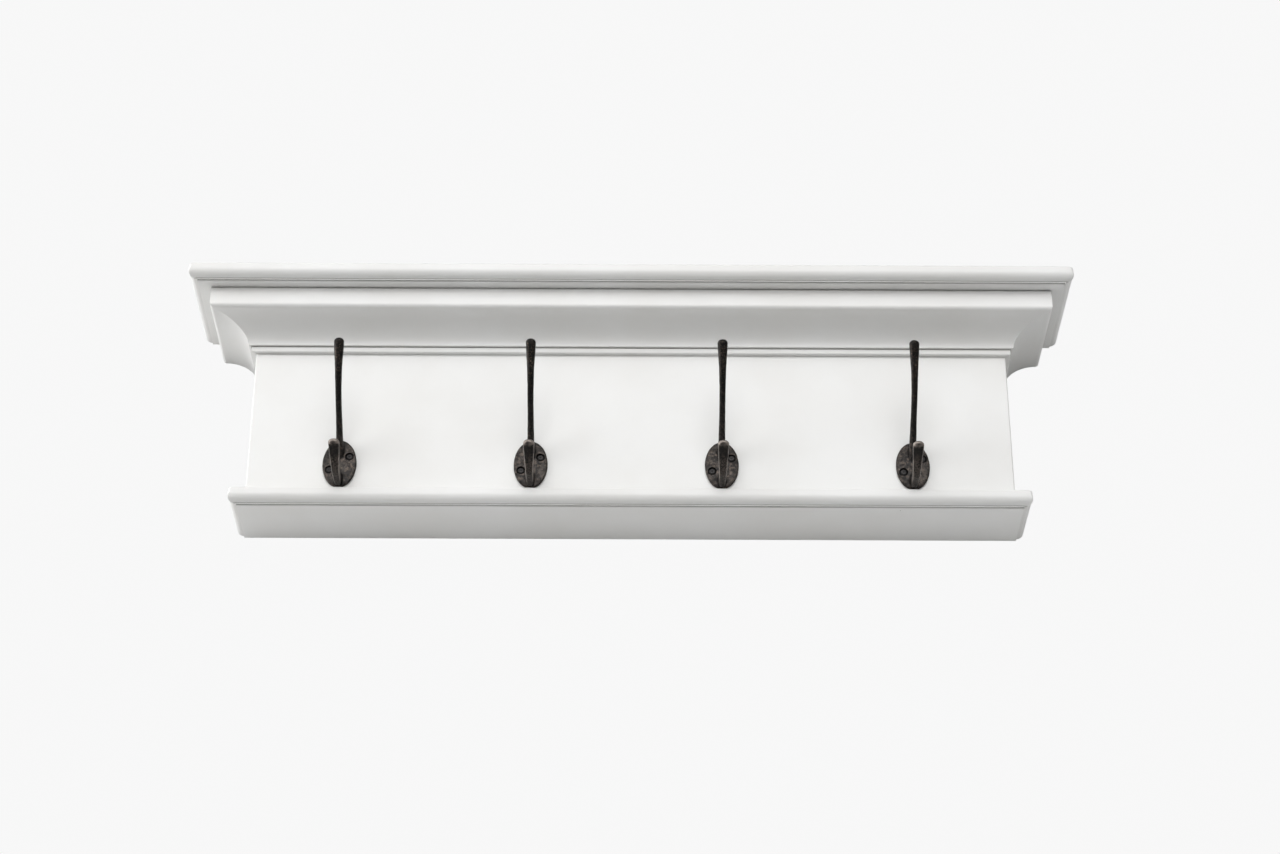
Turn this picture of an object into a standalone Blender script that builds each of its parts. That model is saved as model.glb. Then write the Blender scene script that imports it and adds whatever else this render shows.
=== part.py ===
"""Wall coat rack: a shallow painted box with a moulded shelf, a coved crown, a ledge and four cast hooks.

Metres, +Z up. The wall is the plane Y = 0 and the rack stands out from it towards -Y, with +X on the
right of someone who faces the wall. The origin is the middle of the hanging rail's rear face.
"""

import math

import bmesh
import bpy
from mathutils import Matrix, Vector

# ---------------------------------------------------------------- driving sizes
JOINT_GAP = 0.0003  # clearance between any two pieces that meet

# Box
BOARD_WIDTH = 0.726
BOARD_HEIGHT = 0.200
BOARD_THICKNESS = 0.018
BOARD_EASING = 0.0015
BOX_DEPTH = 0.066  # wall to the front face of the front board
END_THICKNESS = 0.016

# Shelf and ledge, which share one moulded edge
SHELF_THICKNESS = 0.016
SHELF_OVERHANG = 0.020  # beyond the crown, at the front and at both ends
LEDGE_THICKNESS = 0.016
LEDGE_FRONT_OVERHANG = 0.010  # beyond the front board
LEDGE_END_OVERHANG = 0.015
EDGE_FILLET = 0.0018  # height of the small square step under the ovolo
EDGE_OVOLO = 0.0075  # radius of the quarter round under the edge
EDGE_TOP_ROUND = 0.003

# Crown moulding: reach is out from the board, height is up from its lower edge
CROWN_REACH = 0.042
CROWN_HEIGHT = 0.050
CROWN_FILLET_REACH = 0.0042
CROWN_FILLET_HEIGHT = 0.0059
CROWN_FILLET_ROUND = 0.0012
COVE_START = 0.007
COVE_RISE = 0.0224
COVE_FULLNESS = 1.85  # 2 is a true ellipse, less is flatter
FASCIA_ROUND = 0.004
FASCIA_TOP_ROUND = 0.002

# Rails at the wall, inside the box
RAIL_HEIGHT = 0.050
RAIL_THICKNESS = 0.018
SPACER_HEIGHT = 0.040

# Glue blocks
CORNER_BLOCK_LEG = 0.022
CORNER_BLOCK_MARGIN = 0.005  # left between a corner block's ends and the rails' heights
SHELF_BLOCK_LEG = 0.018
SHELF_BLOCK_LENGTH = 0.060

# Dowels
DOWEL_DIAMETER = 0.008
DOWEL_DEPTH_IN_SHELF = 0.009  # in the shelf or the ledge
DOWEL_DEPTH_IN_BOARD = 0.018
DOWEL_CHAMFER = 0.001
END_DOWEL_SETBACK = 0.034  # from the box's end to the outer dowels of the front board

# Keyhole plates
KEYHOLE_PLATE_WIDTH = 0.026
KEYHOLE_PLATE_HEIGHT = 0.046
KEYHOLE_PLATE_THICKNESS = 0.002
KEYHOLE_PLATE_ROUND = 0.003
KEYHOLE_PLATE_LAP = 0.022  # the part of its height that lies on the rail
KEYHOLE_PLATE_INSET = 0.110  # from the box's end to the plate's middle
KEYHOLE_PLATE_MARGIN = 0.003  # metal left below the entry hole
KEYHOLE_ENTRY_DIAMETER = 0.011
KEYHOLE_SLOT_WIDTH = 0.0056
KEYHOLE_SLOT_RISE = 0.009
PLATE_SCREW_SPACING = 0.013
PLATE_SCREW_HEAD = 0.0054
PLATE_SCREW_SHANK = 0.0028
PLATE_SCREW_LENGTH = 0.012

# Hooks
HOOK_COUNT = 4
HOOK_SPACING = 0.181
HOOK_ROW_SHIFT = -0.004  # the row is fixed a little left of the board's middle
HOOK_PLATE_WIDTH = 0.0322
HOOK_PLATE_HEIGHT = 0.050
HOOK_PLATE_THICKNESS = 0.003
HOOK_PLATE_DOME = 0.0008
HOOK_PLATE_CLEARANCE = 0.003  # between the plates and the ledge
UPPER_ARM_REACH = 0.0665  # board to the middle of the arm's tip
UPPER_ARM_RISE = 0.0965  # plate's middle to the middle of the arm's tip
UPPER_TIP_WIDTH = 0.0106
LOWER_ARM_REACH = 0.0575
LOWER_TIP_DROP = 0.0078  # the lower tip's middle is this far below the plate's middle
LOWER_TIP_WIDTH = 0.0108
HOOK_SCREW_ACROSS = 0.0092  # from the plate's middle
HOOK_SCREW_UP = 0.0070
HOOK_SCREW_HEAD = 0.0062
HOOK_SCREW_SHANK = 0.0034
HOOK_SCREW_LENGTH = 0.016
HOOK_SCREW_SINK = 0.0004  # head's face below the plate's face
SCREW_RECESS_DEPTH = 0.0011
SCREW_HEAD_EDGE = 0.0002  # thin cylindrical rim of a countersunk head

# Facets
ROUND_SEGMENTS = 6
COVE_SEGMENTS = 12
DOWEL_SEGMENTS = 12
ENTRY_SEGMENTS = 20
SCREW_SEGMENTS = 16
SEAT_SEGMENTS = 20
PLATE_SEGMENTS = 40
ARM_SIDES = 12
PILOT_SEGMENTS = 12
CUT_PAST = 0.002  # how far a cutter runs out past the face it opens

# ---------------------------------------------------------------- sizes that follow from them
SHELF_UNDERSIDE = RAIL_HEIGHT / 2 + JOINT_GAP
SHELF_TOP = SHELF_UNDERSIDE + SHELF_THICKNESS
BOARD_TOP = SHELF_UNDERSIDE - JOINT_GAP
BOARD_BOTTOM = BOARD_TOP - BOARD_HEIGHT
LEDGE_TOP = BOARD_BOTTOM - JOINT_GAP
LEDGE_UNDERSIDE = LEDGE_TOP - LEDGE_THICKNESS
BOX_END = BOARD_WIDTH / 2
SHELF_WIDTH = BOARD_WIDTH + 2 * (CROWN_REACH + SHELF_OVERHANG)
SHELF_DEPTH = BOX_DEPTH + CROWN_REACH + SHELF_OVERHANG
LEDGE_WIDTH = BOARD_WIDTH + 2 * LEDGE_END_OVERHANG
LEDGE_DEPTH = BOX_DEPTH + LEDGE_FRONT_OVERHANG
BOARD_REAR = BOX_DEPTH - BOARD_THICKNESS
END_DEPTH = BOARD_REAR - JOINT_GAP
RAIL_LENGTH = BOARD_WIDTH - 2 * (END_THICKNESS + JOINT_GAP)
HOOK_CENTRE_Z = LEDGE_TOP + HOOK_PLATE_CLEARANCE + HOOK_PLATE_HEIGHT / 2
HOOK_XS = [HOOK_ROW_SHIFT + (i - (HOOK_COUNT - 1) / 2) * HOOK_SPACING for i in range(HOOK_COUNT)]


# ---------------------------------------------------------------- materials
def make_material(name, colour, roughness, metallic):
    material = bpy.data.materials.new(name)
    material.use_nodes = True
    shader = material.node_tree.nodes["Principled BSDF"]
    shader.inputs["Base Color"].default_value = (*colour, 1.0)
    shader.inputs["Roughness"].default_value = roughness
    shader.inputs["Metallic"].default_value = metallic
    material.diffuse_color = (*colour, 1.0)
    return material


# ---------------------------------------------------------------- shared modelling
def place(mesh_name, form, material, name, location=(0, 0, 0), smooth_angle=35):
    """Makes the form's mesh and one object of it, parented to the rack."""
    mesh = bpy.data.meshes.new(mesh_name)
    bmesh.ops.recalc_face_normals(form, faces=form.faces)
    form.to_mesh(mesh)
    form.free()
    mesh.shade_smooth()
    mesh.set_sharp_from_angle(angle=math.radians(smooth_angle))
    mesh.materials.append(material)
    return place_copy(mesh, name, location)


def place_copy(mesh, name, location):
    piece = bpy.data.objects.new(name, mesh)
    piece.location = location
    piece.parent = rack
    bpy.context.scene.collection.objects.link(piece)
    return piece


def skin_rings(form, rings):
    """Closes a stack of rings, each with the same number of points, into one solid."""
    loops = [[form.verts.new(point) for point in ring] for ring in rings]
    count = len(loops[0])
    for lower, upper in zip(loops, loops[1:]):
        for i in range(count):
            j = (i + 1) % count
            form.faces.new((lower[i], lower[j], upper[j], upper[i]))
    form.faces.new(reversed(loops[0]))
    form.faces.new(loops[-1])


def block(low, high):
    """A bmesh box between two corners."""
    form = bmesh.new()
    size = Vector(high) - Vector(low)
    middle = (Vector(high) + Vector(low)) / 2
    bmesh.ops.create_cube(form, size=1.0, matrix=Matrix.Translation(middle) @ Matrix.Diagonal((*size, 1)))
    return form


def turned(profile, segments, axis_matrix, form=None):
    """Spins (radius, height) points, listed from one end to the other, about the local Z axis."""
    form = form or bmesh.new()
    rings = []
    for radius, height in profile:
        turn = [2 * math.pi * k / segments for k in range(segments)]
        ring = [axis_matrix @ Vector((radius * math.cos(a), radius * math.sin(a), height)) for a in turn]
        rings.append(ring)
    skin_rings(form, rings)
    return form


def cut_with(piece, form, label, operation="DIFFERENCE"):
    """Takes the form's solids out of the piece, or joins them to it, and leaves a plain mesh."""
    bmesh.ops.recalc_face_normals(form, faces=form.faces)
    cutter_mesh = bpy.data.meshes.new(label)
    form.to_mesh(cutter_mesh)
    form.free()
    cutter = bpy.data.objects.new(label, cutter_mesh)
    cutter.matrix_world = Matrix.Translation(piece.location)
    cutter.hide_render = True
    cutter.display_type = "WIRE"
    bpy.context.scene.collection.objects.link(cutter)
    modifier = piece.modifiers.new(label, "BOOLEAN")
    modifier.operation = operation
    modifier.object = cutter
    bpy.context.view_layer.update()
    evaluated = piece.evaluated_get(bpy.context.evaluated_depsgraph_get())
    finished = bpy.data.meshes.new_from_object(evaluated)
    plain = piece.data
    finished.name = plain.name
    piece.modifiers.clear()
    piece.data = finished
    bpy.data.meshes.remove(plain)
    bpy.data.objects.remove(cutter)
    bpy.data.meshes.remove(cutter_mesh)
    piece.data.shade_smooth()
    piece.data.set_sharp_from_angle(angle=math.radians(35))


def arc(centre_x, centre_y, radius, start, end, segments):
    """Points of an arc from one angle to another, in degrees, both ends included."""
    angles = [math.radians(start + (end - start) * k / segments) for k in range(segments + 1)]
    return [(centre_x + radius * math.cos(a), centre_y + radius * math.sin(a)) for a in angles]


# Turn a form's own Z axis to point out into the room, or back to the wall
OUTWARD = Matrix.Rotation(math.radians(90), 4, "X")
WALLWARD = Matrix.Rotation(math.radians(-90), 4, "X")


# ---------------------------------------------------------------- shelf and ledge
def edge_levels(thickness):
    """The moulded edge from the underside up, as (inset from the edge, height) points."""
    ovolo = arc(EDGE_OVOLO, EDGE_FILLET + EDGE_OVOLO, EDGE_OVOLO, -90, -180, ROUND_SEGMENTS)
    crest = arc(EDGE_TOP_ROUND, thickness - EDGE_TOP_ROUND, EDGE_TOP_ROUND, 180, 90, ROUND_SEGMENTS // 2)
    return [(EDGE_OVOLO, 0.0)] + ovolo + crest


def moulded_board(width, depth, underside, thickness):
    """A board against the wall whose front and ends carry the moulded edge, mitred at the corners."""
    form = bmesh.new()
    rings = []
    for inset, height in edge_levels(thickness):
        x = width / 2 - inset
        front = -(depth - inset)
        z = underside + height
        rings.append([(-x, 0, z), (-x, front, z), (x, front, z), (x, 0, z)])
    skin_rings(form, rings)
    return form


# ---------------------------------------------------------------- crown moulding
def crown_profile():
    """(reach, height) points of the crown's section, from the board's face round to the board's face."""
    bead = arc(
        CROWN_FILLET_REACH - CROWN_FILLET_ROUND, CROWN_FILLET_ROUND, CROWN_FILLET_ROUND, -90, 0, ROUND_SEGMENTS // 2
    )
    cove_end = CROWN_REACH - FASCIA_ROUND
    cove_run = cove_end - COVE_START
    cove = []
    for k in range(COVE_SEGMENTS):
        turn = math.pi / 2 * k / COVE_SEGMENTS
        across = math.cos(turn) ** (2 / COVE_FULLNESS)
        up = math.sin(turn) ** (2 / COVE_FULLNESS)
        cove.append((cove_end - cove_run * across, CROWN_FILLET_HEIGHT + COVE_RISE * up))
    lip_z = CROWN_FILLET_HEIGHT + COVE_RISE + FASCIA_ROUND
    lip = arc(cove_end, lip_z, FASCIA_ROUND, -90, 0, ROUND_SEGMENTS)
    step = [(CROWN_FILLET_REACH, CROWN_FILLET_HEIGHT)]
    top_centre = (CROWN_REACH - FASCIA_TOP_ROUND, CROWN_HEIGHT - FASCIA_TOP_ROUND)
    top = arc(*top_centre, FASCIA_TOP_ROUND, 0, 90, ROUND_SEGMENTS // 2)
    return [(0, 0)] + bead + step + cove + lip + top + [(0, CROWN_HEIGHT)]


def crown_length(start, end):
    """A stretch of crown between two section places, each a function from (reach, height) to a point."""
    form = bmesh.new()
    profile = crown_profile()
    skin_rings(form, [[place_of(reach, height) for reach, height in profile] for place_of in (start, end)])
    return form


def add_crown(paint):
    base = SHELF_UNDERSIDE - JOINT_GAP - CROWN_HEIGHT
    face = BOX_DEPTH + JOINT_GAP
    side = BOX_END + JOINT_GAP

    def front_mitre(sign):
        return lambda reach, height: (sign * (side + reach - JOINT_GAP / 2), -(face + reach), base + height)

    def return_mitre(sign):
        return lambda reach, height: (sign * (side + reach), -(face + reach - JOINT_GAP / 2), base + height)

    def return_end(sign):
        return lambda reach, height: (sign * (side + reach), 0, base + height)

    place("crown_front", crown_length(front_mitre(-1), front_mitre(1)), paint, "crown_front")
    for sign, label in ((-1, "left"), (1, "right")):
        name = f"crown_{label}_return"
        place(name, crown_length(return_mitre(sign), return_end(sign)), paint, name)


# ---------------------------------------------------------------- dowels
def dowel_places():
    """(x, distance from the wall) of each dowel in the front board and in the end panels."""
    between = [(a + b) / 2 for a, b in zip(HOOK_XS, HOOK_XS[1:])]
    outer = BOX_END - END_DOWEL_SETBACK
    board_y = BOX_DEPTH - BOARD_THICKNESS / 2
    in_board = [(x, board_y) for x in [-outer, *between, outer]]
    end_x = BOX_END - END_THICKNESS / 2
    in_ends = [(-end_x, END_DEPTH / 2), (end_x, END_DEPTH / 2)]
    return in_board + in_ends


def dowel_form(extra):
    """A dowel on the Z axis whose joint is at z = 0: the shallow end is up, extra widens it for a hole."""
    radius = DOWEL_DIAMETER / 2 + extra
    top = DOWEL_DEPTH_IN_SHELF + extra
    bottom = -DOWEL_DEPTH_IN_BOARD - extra
    chamfer = DOWEL_CHAMFER
    profile = [
        (radius - chamfer, bottom),
        (radius, bottom + chamfer),
        (radius, top - chamfer),
        (radius - chamfer, top),
    ]
    return profile


def dowel_holes(joint_z, flip):
    """Cutters for every dowel hole along one joint."""
    form = bmesh.new()
    for x, y in dowel_places():
        turned(dowel_form(JOINT_GAP), DOWEL_SEGMENTS, joint_matrix(x, y, joint_z, flip), form)
    return form


def joint_matrix(x, y, joint_z, flip):
    turn = Matrix.Rotation(math.pi, 4, "X") if flip else Matrix.Identity(4)
    return Matrix.Translation((x, -y, joint_z)) @ turn


def add_dowels(beech):
    joints = (("shelf", SHELF_UNDERSIDE - JOINT_GAP / 2, False), ("ledge", LEDGE_TOP + JOINT_GAP / 2, True))
    for label, joint_z, flip in joints:
        form = turned(dowel_form(0), DOWEL_SEGMENTS, joint_matrix(0, 0, 0, flip))
        first = None
        for number, (x, y) in enumerate(dowel_places(), 1):
            name = f"{label}_dowel_{number}"
            if first is None:
                first = place(f"{label}_dowel", form, beech, name, (x, -y, joint_z))
            else:
                place_copy(first.data, name, (x, -y, joint_z))


# ---------------------------------------------------------------- boards of the box
def eased_board(low, high, easing):
    """A board whose two upright front edges are rounded over."""
    form = block(low, high)
    front = min(low[1], high[1])
    edges = [
        edge
        for edge in form.edges
        if all(abs(vert.co.y - front) < 1e-6 for vert in edge.verts)
        and abs(edge.verts[0].co.z - edge.verts[1].co.z) > 1e-6
    ]
    bmesh.ops.bevel(form, geom=edges, offset=easing, segments=3, profile=0.5, affect="EDGES")
    return form


def screw_hole_places():
    """(x, z) of the hook screws in the front board."""
    places = []
    for x in HOOK_XS:
        for sign in (1, -1):
            places.append((x + sign * HOOK_SCREW_ACROSS, HOOK_CENTRE_Z + sign * HOOK_SCREW_UP))
    return places


def hook_screw_tip():
    """How far the hook screws reach in from the board's face."""
    return HOOK_SCREW_LENGTH + HOOK_SCREW_SINK - hook_plate_face()


def add_box(paint, raw):
    shelf_holes = SHELF_UNDERSIDE - JOINT_GAP / 2
    ledge_holes = LEDGE_TOP + JOINT_GAP / 2

    shelf = place("shelf", moulded_board(SHELF_WIDTH, SHELF_DEPTH, SHELF_UNDERSIDE, SHELF_THICKNESS), paint, "shelf")
    cut_with(shelf, dowel_holes(shelf_holes, False), "shelf_dowel_holes")

    ledge_form = moulded_board(LEDGE_WIDTH, LEDGE_DEPTH, LEDGE_UNDERSIDE, LEDGE_THICKNESS)
    ledge = place("bottom_ledge", ledge_form, paint, "bottom_ledge")
    cut_with(ledge, dowel_holes(ledge_holes, True), "ledge_dowel_holes")

    board_low = (-BOX_END, -BOX_DEPTH, BOARD_BOTTOM)
    board_high = (BOX_END, -BOARD_REAR, BOARD_TOP)
    board = place("front_board", eased_board(board_low, board_high, BOARD_EASING), paint, "front_board")
    holes = dowel_holes(shelf_holes, False)
    for x, y in dowel_places():
        turned(dowel_form(JOINT_GAP), DOWEL_SEGMENTS, joint_matrix(x, y, ledge_holes, True), holes)
    radius = HOOK_SCREW_SHANK / 2 + JOINT_GAP
    depth = hook_screw_tip() + JOINT_GAP
    for x, z in screw_hole_places():
        pilot = Matrix.Translation((x, -BOX_DEPTH, z)) @ OUTWARD
        profile = [(radius * 0.4, -depth), (radius, -depth + radius), (radius, CUT_PAST)]
        turned(profile, PILOT_SEGMENTS, pilot, holes)
    cut_with(board, holes, "board_holes")

    for sign, label in ((-1, "left"), (1, "right")):
        outer = sign * BOX_END
        inner = sign * (BOX_END - END_THICKNESS)
        low = (min(outer, inner), -END_DEPTH, BOARD_BOTTOM)
        high = (max(outer, inner), 0, BOARD_TOP)
        name = f"{label}_end_panel"
        panel = place(name, block(low, high), paint, name)
        holes = dowel_holes(shelf_holes, False)
        for x, y in dowel_places():
            turned(dowel_form(JOINT_GAP), DOWEL_SEGMENTS, joint_matrix(x, y, ledge_holes, True), holes)
        cut_with(panel, holes, f"{label}_end_holes")

    add_rails(raw)
    add_blocks(raw)


# ---------------------------------------------------------------- rails at the wall
def add_rails(raw):
    half = RAIL_LENGTH / 2
    rail_low = (-half, -RAIL_THICKNESS, -RAIL_HEIGHT / 2)
    rail = place("hanging_rail", block(rail_low, (half, 0, RAIL_HEIGHT / 2)), raw, "hanging_rail")
    for x in keyhole_plate_xs():
        cut_with(rail, keyhole_housing(x), "plate_housing")
        cut_with(rail, plate_screw_pilots(x), "plate_pilots")
    spacer_low = (-half, -RAIL_THICKNESS, BOARD_BOTTOM)
    spacer_high = (half, 0, BOARD_BOTTOM + SPACER_HEIGHT)
    place("spacer_rail", block(spacer_low, spacer_high), raw, "spacer_rail")


# ---------------------------------------------------------------- glue blocks
def triangle_prism(corner, leg_a, leg_b, run):
    """A right-angled glue block: its square corner, its two legs and its length are vectors."""
    form = bmesh.new()
    corner = Vector(corner)
    section = [corner, corner + Vector(leg_a), corner + Vector(leg_b)]
    skin_rings(form, [section, [point + Vector(run) for point in section]])
    return form


def add_blocks(raw):
    rear = -(BOARD_REAR - JOINT_GAP)
    block_low = BOARD_BOTTOM + SPACER_HEIGHT + CORNER_BLOCK_MARGIN
    block_high = -RAIL_HEIGHT / 2 - CORNER_BLOCK_MARGIN
    for sign, label in ((-1, "left"), (1, "right")):
        corner = (sign * (BOX_END - END_THICKNESS - JOINT_GAP), rear, block_low)
        legs = (-sign * CORNER_BLOCK_LEG, 0, 0), (0, CORNER_BLOCK_LEG, 0)
        name = f"{label}_corner_block"
        place(name, triangle_prism(corner, *legs, (0, 0, block_high - block_low)), raw, name)
    for number, x in enumerate(((a + b) / 2 for a, b in zip(HOOK_XS, HOOK_XS[1:])), 1):
        corner = (x - SHELF_BLOCK_LENGTH / 2, rear, BOARD_TOP - JOINT_GAP)
        legs = (0, SHELF_BLOCK_LEG, 0), (0, 0, -SHELF_BLOCK_LEG)
        name = f"shelf_block_{number}"
        place(name, triangle_prism(corner, *legs, (SHELF_BLOCK_LENGTH, 0, 0)), raw, name)


# ---------------------------------------------------------------- screws
def screw_profile(head, shank, length):
    """A countersunk wood screw on the Z axis, its head's face at z = 0 and its point down."""
    return [
        (shank * 0.06, -length),
        (shank * 0.34, -length + shank),
        (shank / 2, -length + shank * 2),
        (shank / 2, -(head - shank) / 2 - SCREW_HEAD_EDGE),
        (head / 2, -SCREW_HEAD_EDGE),
        (head / 2, 0),
    ]


def seat_profile(head, shank, sink):
    """A countersink's cutter on the Z axis, with the face it opens at z = 0."""
    rim = head / 2 + sink + SCREW_HEAD_EDGE + JOINT_GAP * math.sqrt(2)
    neck = shank / 2 + JOINT_GAP
    return [(neck, 2 * (neck - rim) - CUT_PAST), (neck, neck - rim), (rim, 0), (rim, CUT_PAST)]


def screw_mesh(name, head, shank, length, metal):
    """A countersunk screw with a cross recess, made once and shared by its copies."""
    form = turned(screw_profile(head, shank, length), SCREW_SEGMENTS, OUTWARD)
    screw = place(name, form, metal, name)
    arm = head * 0.62
    slot = head * 0.15
    for size in ((arm, slot), (slot, arm)):
        low = (-size[0] / 2, -CUT_PAST, -size[1] / 2)
        high = (size[0] / 2, SCREW_RECESS_DEPTH, size[1] / 2)
        cut_with(screw, block(low, high), "recess")
    mesh = screw.data
    mesh.name = name
    bpy.data.objects.remove(screw)
    return mesh


# ---------------------------------------------------------------- keyhole plates
def keyhole_plate_xs():
    x = BOX_END - KEYHOLE_PLATE_INSET
    return (-x, x)


def keyhole_plate_top():
    return -RAIL_HEIGHT / 2 + KEYHOLE_PLATE_LAP


def plate_outline(half_width, top, bottom, corner):
    """(x, z) points of a plate with rounded corners."""
    points = []
    centres = (
        (half_width - corner, bottom + corner, -90),
        (half_width - corner, top - corner, 0),
        (-half_width + corner, top - corner, 90),
        (-half_width + corner, bottom + corner, 180),
    )
    for x, z, start in centres:
        points += arc(x, z, corner, start, start + 90, ROUND_SEGMENTS // 2)
    return points


def slab(outline, x, near, far):
    """A flat plate with the given (x, z) outline, between two distances from the wall."""
    form = bmesh.new()
    skin_rings(form, [[(x + px, -depth, pz) for px, pz in outline] for depth in (near, far)])
    return form


def keyhole_housing(x):
    """The shallow housing that the plate lies in, cut into the rail's rear face."""
    clear = JOINT_GAP
    top = keyhole_plate_top() + clear
    low = -RAIL_HEIGHT / 2 - 2 * KEYHOLE_PLATE_ROUND
    half = KEYHOLE_PLATE_WIDTH / 2 + clear
    outline = plate_outline(half, top, low, KEYHOLE_PLATE_ROUND + clear)
    return slab(outline, x, -CUT_PAST, KEYHOLE_PLATE_THICKNESS + 2 * clear)


def plate_screw_pilots(x):
    """The holes for the plate's two screws, cut into the rail."""
    form = bmesh.new()
    radius = PLATE_SCREW_SHANK / 2 + JOINT_GAP
    depth = PLATE_SCREW_LENGTH + 3 * JOINT_GAP
    for screw_x, z in plate_screw_places(x):
        profile = [(radius * 0.4, -depth), (radius, -depth + radius), (radius, CUT_PAST)]
        turned(profile, PILOT_SEGMENTS, Matrix.Translation((screw_x, 0, z)) @ WALLWARD, form)
    return form


def plate_screw_places(x):
    z = keyhole_plate_top() - KEYHOLE_PLATE_LAP / 2
    return [(x - PLATE_SCREW_SPACING / 2, z), (x + PLATE_SCREW_SPACING / 2, z)]


def keyhole_middle():
    """Height of the entry hole's middle."""
    return keyhole_plate_top() - KEYHOLE_PLATE_HEIGHT + KEYHOLE_PLATE_MARGIN + KEYHOLE_ENTRY_DIAMETER / 2


def add_keyhole_plates(steel):
    screw = screw_mesh("plate_screw", PLATE_SCREW_HEAD, PLATE_SCREW_SHANK, PLATE_SCREW_LENGTH, steel)
    top = keyhole_plate_top()
    outline = plate_outline(KEYHOLE_PLATE_WIDTH / 2, top, top - KEYHOLE_PLATE_HEIGHT, KEYHOLE_PLATE_ROUND)
    rear = JOINT_GAP
    front = JOINT_GAP + KEYHOLE_PLATE_THICKNESS
    for x, label in zip(keyhole_plate_xs(), ("left", "right")):
        name = f"{label}_keyhole_plate"
        plate = place(name, slab(outline, x, rear, front), steel, name)
        entry = KEYHOLE_ENTRY_DIAMETER / 2
        middle = Matrix.Translation((x, 0, keyhole_middle())) @ WALLWARD
        through = KEYHOLE_PLATE_THICKNESS + CUT_PAST
        cut_with(plate, turned([(entry, -through), (entry, through)], ENTRY_SEGMENTS, middle), "entry")
        half = KEYHOLE_SLOT_WIDTH / 2
        slot_top = KEYHOLE_SLOT_RISE + half
        slot = plate_outline(half, keyhole_middle() + slot_top, keyhole_middle(), half * 0.98)
        cut_with(plate, slab(slot, x, -CUT_PAST, through), "slot")
        profile = seat_profile(PLATE_SCREW_HEAD, PLATE_SCREW_SHANK, 0)
        for screw_x, z in plate_screw_places(x):
            seat = Matrix.Translation((screw_x, -rear, z)) @ WALLWARD
            cut_with(plate, turned(profile, SEAT_SEGMENTS, seat), "seat")
        for (screw_x, z), side in zip(plate_screw_places(x), ("left", "right")):
            piece = place_copy(screw, f"{label}_plate_screw_{side}", (screw_x, -rear, z))
            piece.rotation_euler = (0, 0, math.pi)


# ---------------------------------------------------------------- hooks
def hook_plate_face():
    """Thickness of the hook's plate where the screws go through."""
    across = HOOK_SCREW_ACROSS / (HOOK_PLATE_WIDTH / 2)
    up = HOOK_SCREW_UP / (HOOK_PLATE_HEIGHT / 2)
    return HOOK_PLATE_THICKNESS + HOOK_PLATE_DOME * (1 - across**2 - up**2)


def hook_plate():
    """The oval plate, slightly domed, standing off the board by the joint gap."""
    form = bmesh.new()
    shares = ((1.0, 0.0), (1.0, 0.62), (0.985, 0.86), (0.945, 1.0), (0.62, None), (0.3, None))
    rings = []
    for share, level in shares:
        dome = HOOK_PLATE_DOME * (1 - share**2)
        depth = HOOK_PLATE_THICKNESS * level if level is not None else HOOK_PLATE_THICKNESS + dome
        turn = [2 * math.pi * k / PLATE_SEGMENTS for k in range(PLATE_SEGMENTS)]
        half_width = HOOK_PLATE_WIDTH / 2 * share
        half_height = HOOK_PLATE_HEIGHT / 2 * share
        rings.append([(half_width * math.cos(a), -JOINT_GAP - depth, half_height * math.sin(a)) for a in turn])
    skin_rings(form, rings)
    return form


def smooth_path(stations, steps):
    """Catmull-Rom curve through the stations, each a tuple of numbers, with the ends kept."""
    padded = [stations[0], *stations, stations[-1]]
    path = []
    for before, start, end, after in zip(padded, padded[1:], padded[2:], padded[3:]):
        for k in range(steps):
            t = k / steps
            path.append(
                tuple(
                    0.5
                    * (2 * b + (c - a) * t + (2 * a - 5 * b + 4 * c - d) * t * t + (3 * b - a - 3 * c + d) * t**3)
                    for a, b, c, d in zip(before, start, end, after)
                )
            )
    path.append(tuple(stations[-1]))
    return path


def arm(stations, squareness):
    """A cast arm through (out, up, width, thickness) stations, ending in a rounded tip."""
    path = smooth_path(stations, 2)
    last = path[-1]
    before = path[-2]
    heading = Vector((last[0] - before[0], last[1] - before[1])).normalized()
    tip_length = 0.4 * last[2]
    for share in (0.45, 0.8, 0.97):
        shrink = math.sqrt(1 - share**2)
        path.append(
            (
                last[0] + heading.x * tip_length * share,
                last[1] + heading.y * tip_length * share,
                last[2] * shrink,
                last[3] * shrink,
            )
        )
    form = bmesh.new()
    rings = []
    for i, (out, up, width, thickness) in enumerate(path):
        ahead = path[min(i + 1, len(path) - 1)]
        behind = path[max(i - 1, 0)]
        along = Vector((ahead[0] - behind[0], ahead[1] - behind[1])).normalized()
        across = Vector((-along.y, along.x))
        ring = []
        for k in range(ARM_SIDES):
            turn = 2 * math.pi * (k + 0.5) / ARM_SIDES
            side = math.copysign(abs(math.cos(turn)) ** (2 / squareness), math.cos(turn)) * width / 2
            lift = math.copysign(abs(math.sin(turn)) ** (2 / squareness), math.sin(turn)) * thickness / 2
            ring.append((side, -(out + across.x * lift), up + across.y * lift))
        rings.append(ring)
    skin_rings(form, rings)
    return form


def upper_arm_stations():
    """(out, up, width, thickness): out of the plate at 45 degrees, then turning up to the tip."""
    reach = UPPER_ARM_REACH
    rise = UPPER_ARM_RISE
    tip = UPPER_TIP_WIDTH
    return [
        (0.0010, 0.085 * rise, 0.72 * tip, 0.92 * tip),
        (0.245 * reach, 0.255 * rise, 0.61 * tip, 0.72 * tip),
        (0.51 * reach, 0.425 * rise, 0.55 * tip, 0.62 * tip),
        (0.735 * reach, 0.60 * rise, 0.57 * tip, 0.60 * tip),
        (0.868 * reach, 0.765 * rise, 0.68 * tip, 0.64 * tip),
        (0.935 * reach, 0.905 * rise, 0.88 * tip, 0.76 * tip),
        (reach, rise, tip, 0.84 * tip),
    ]


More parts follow.
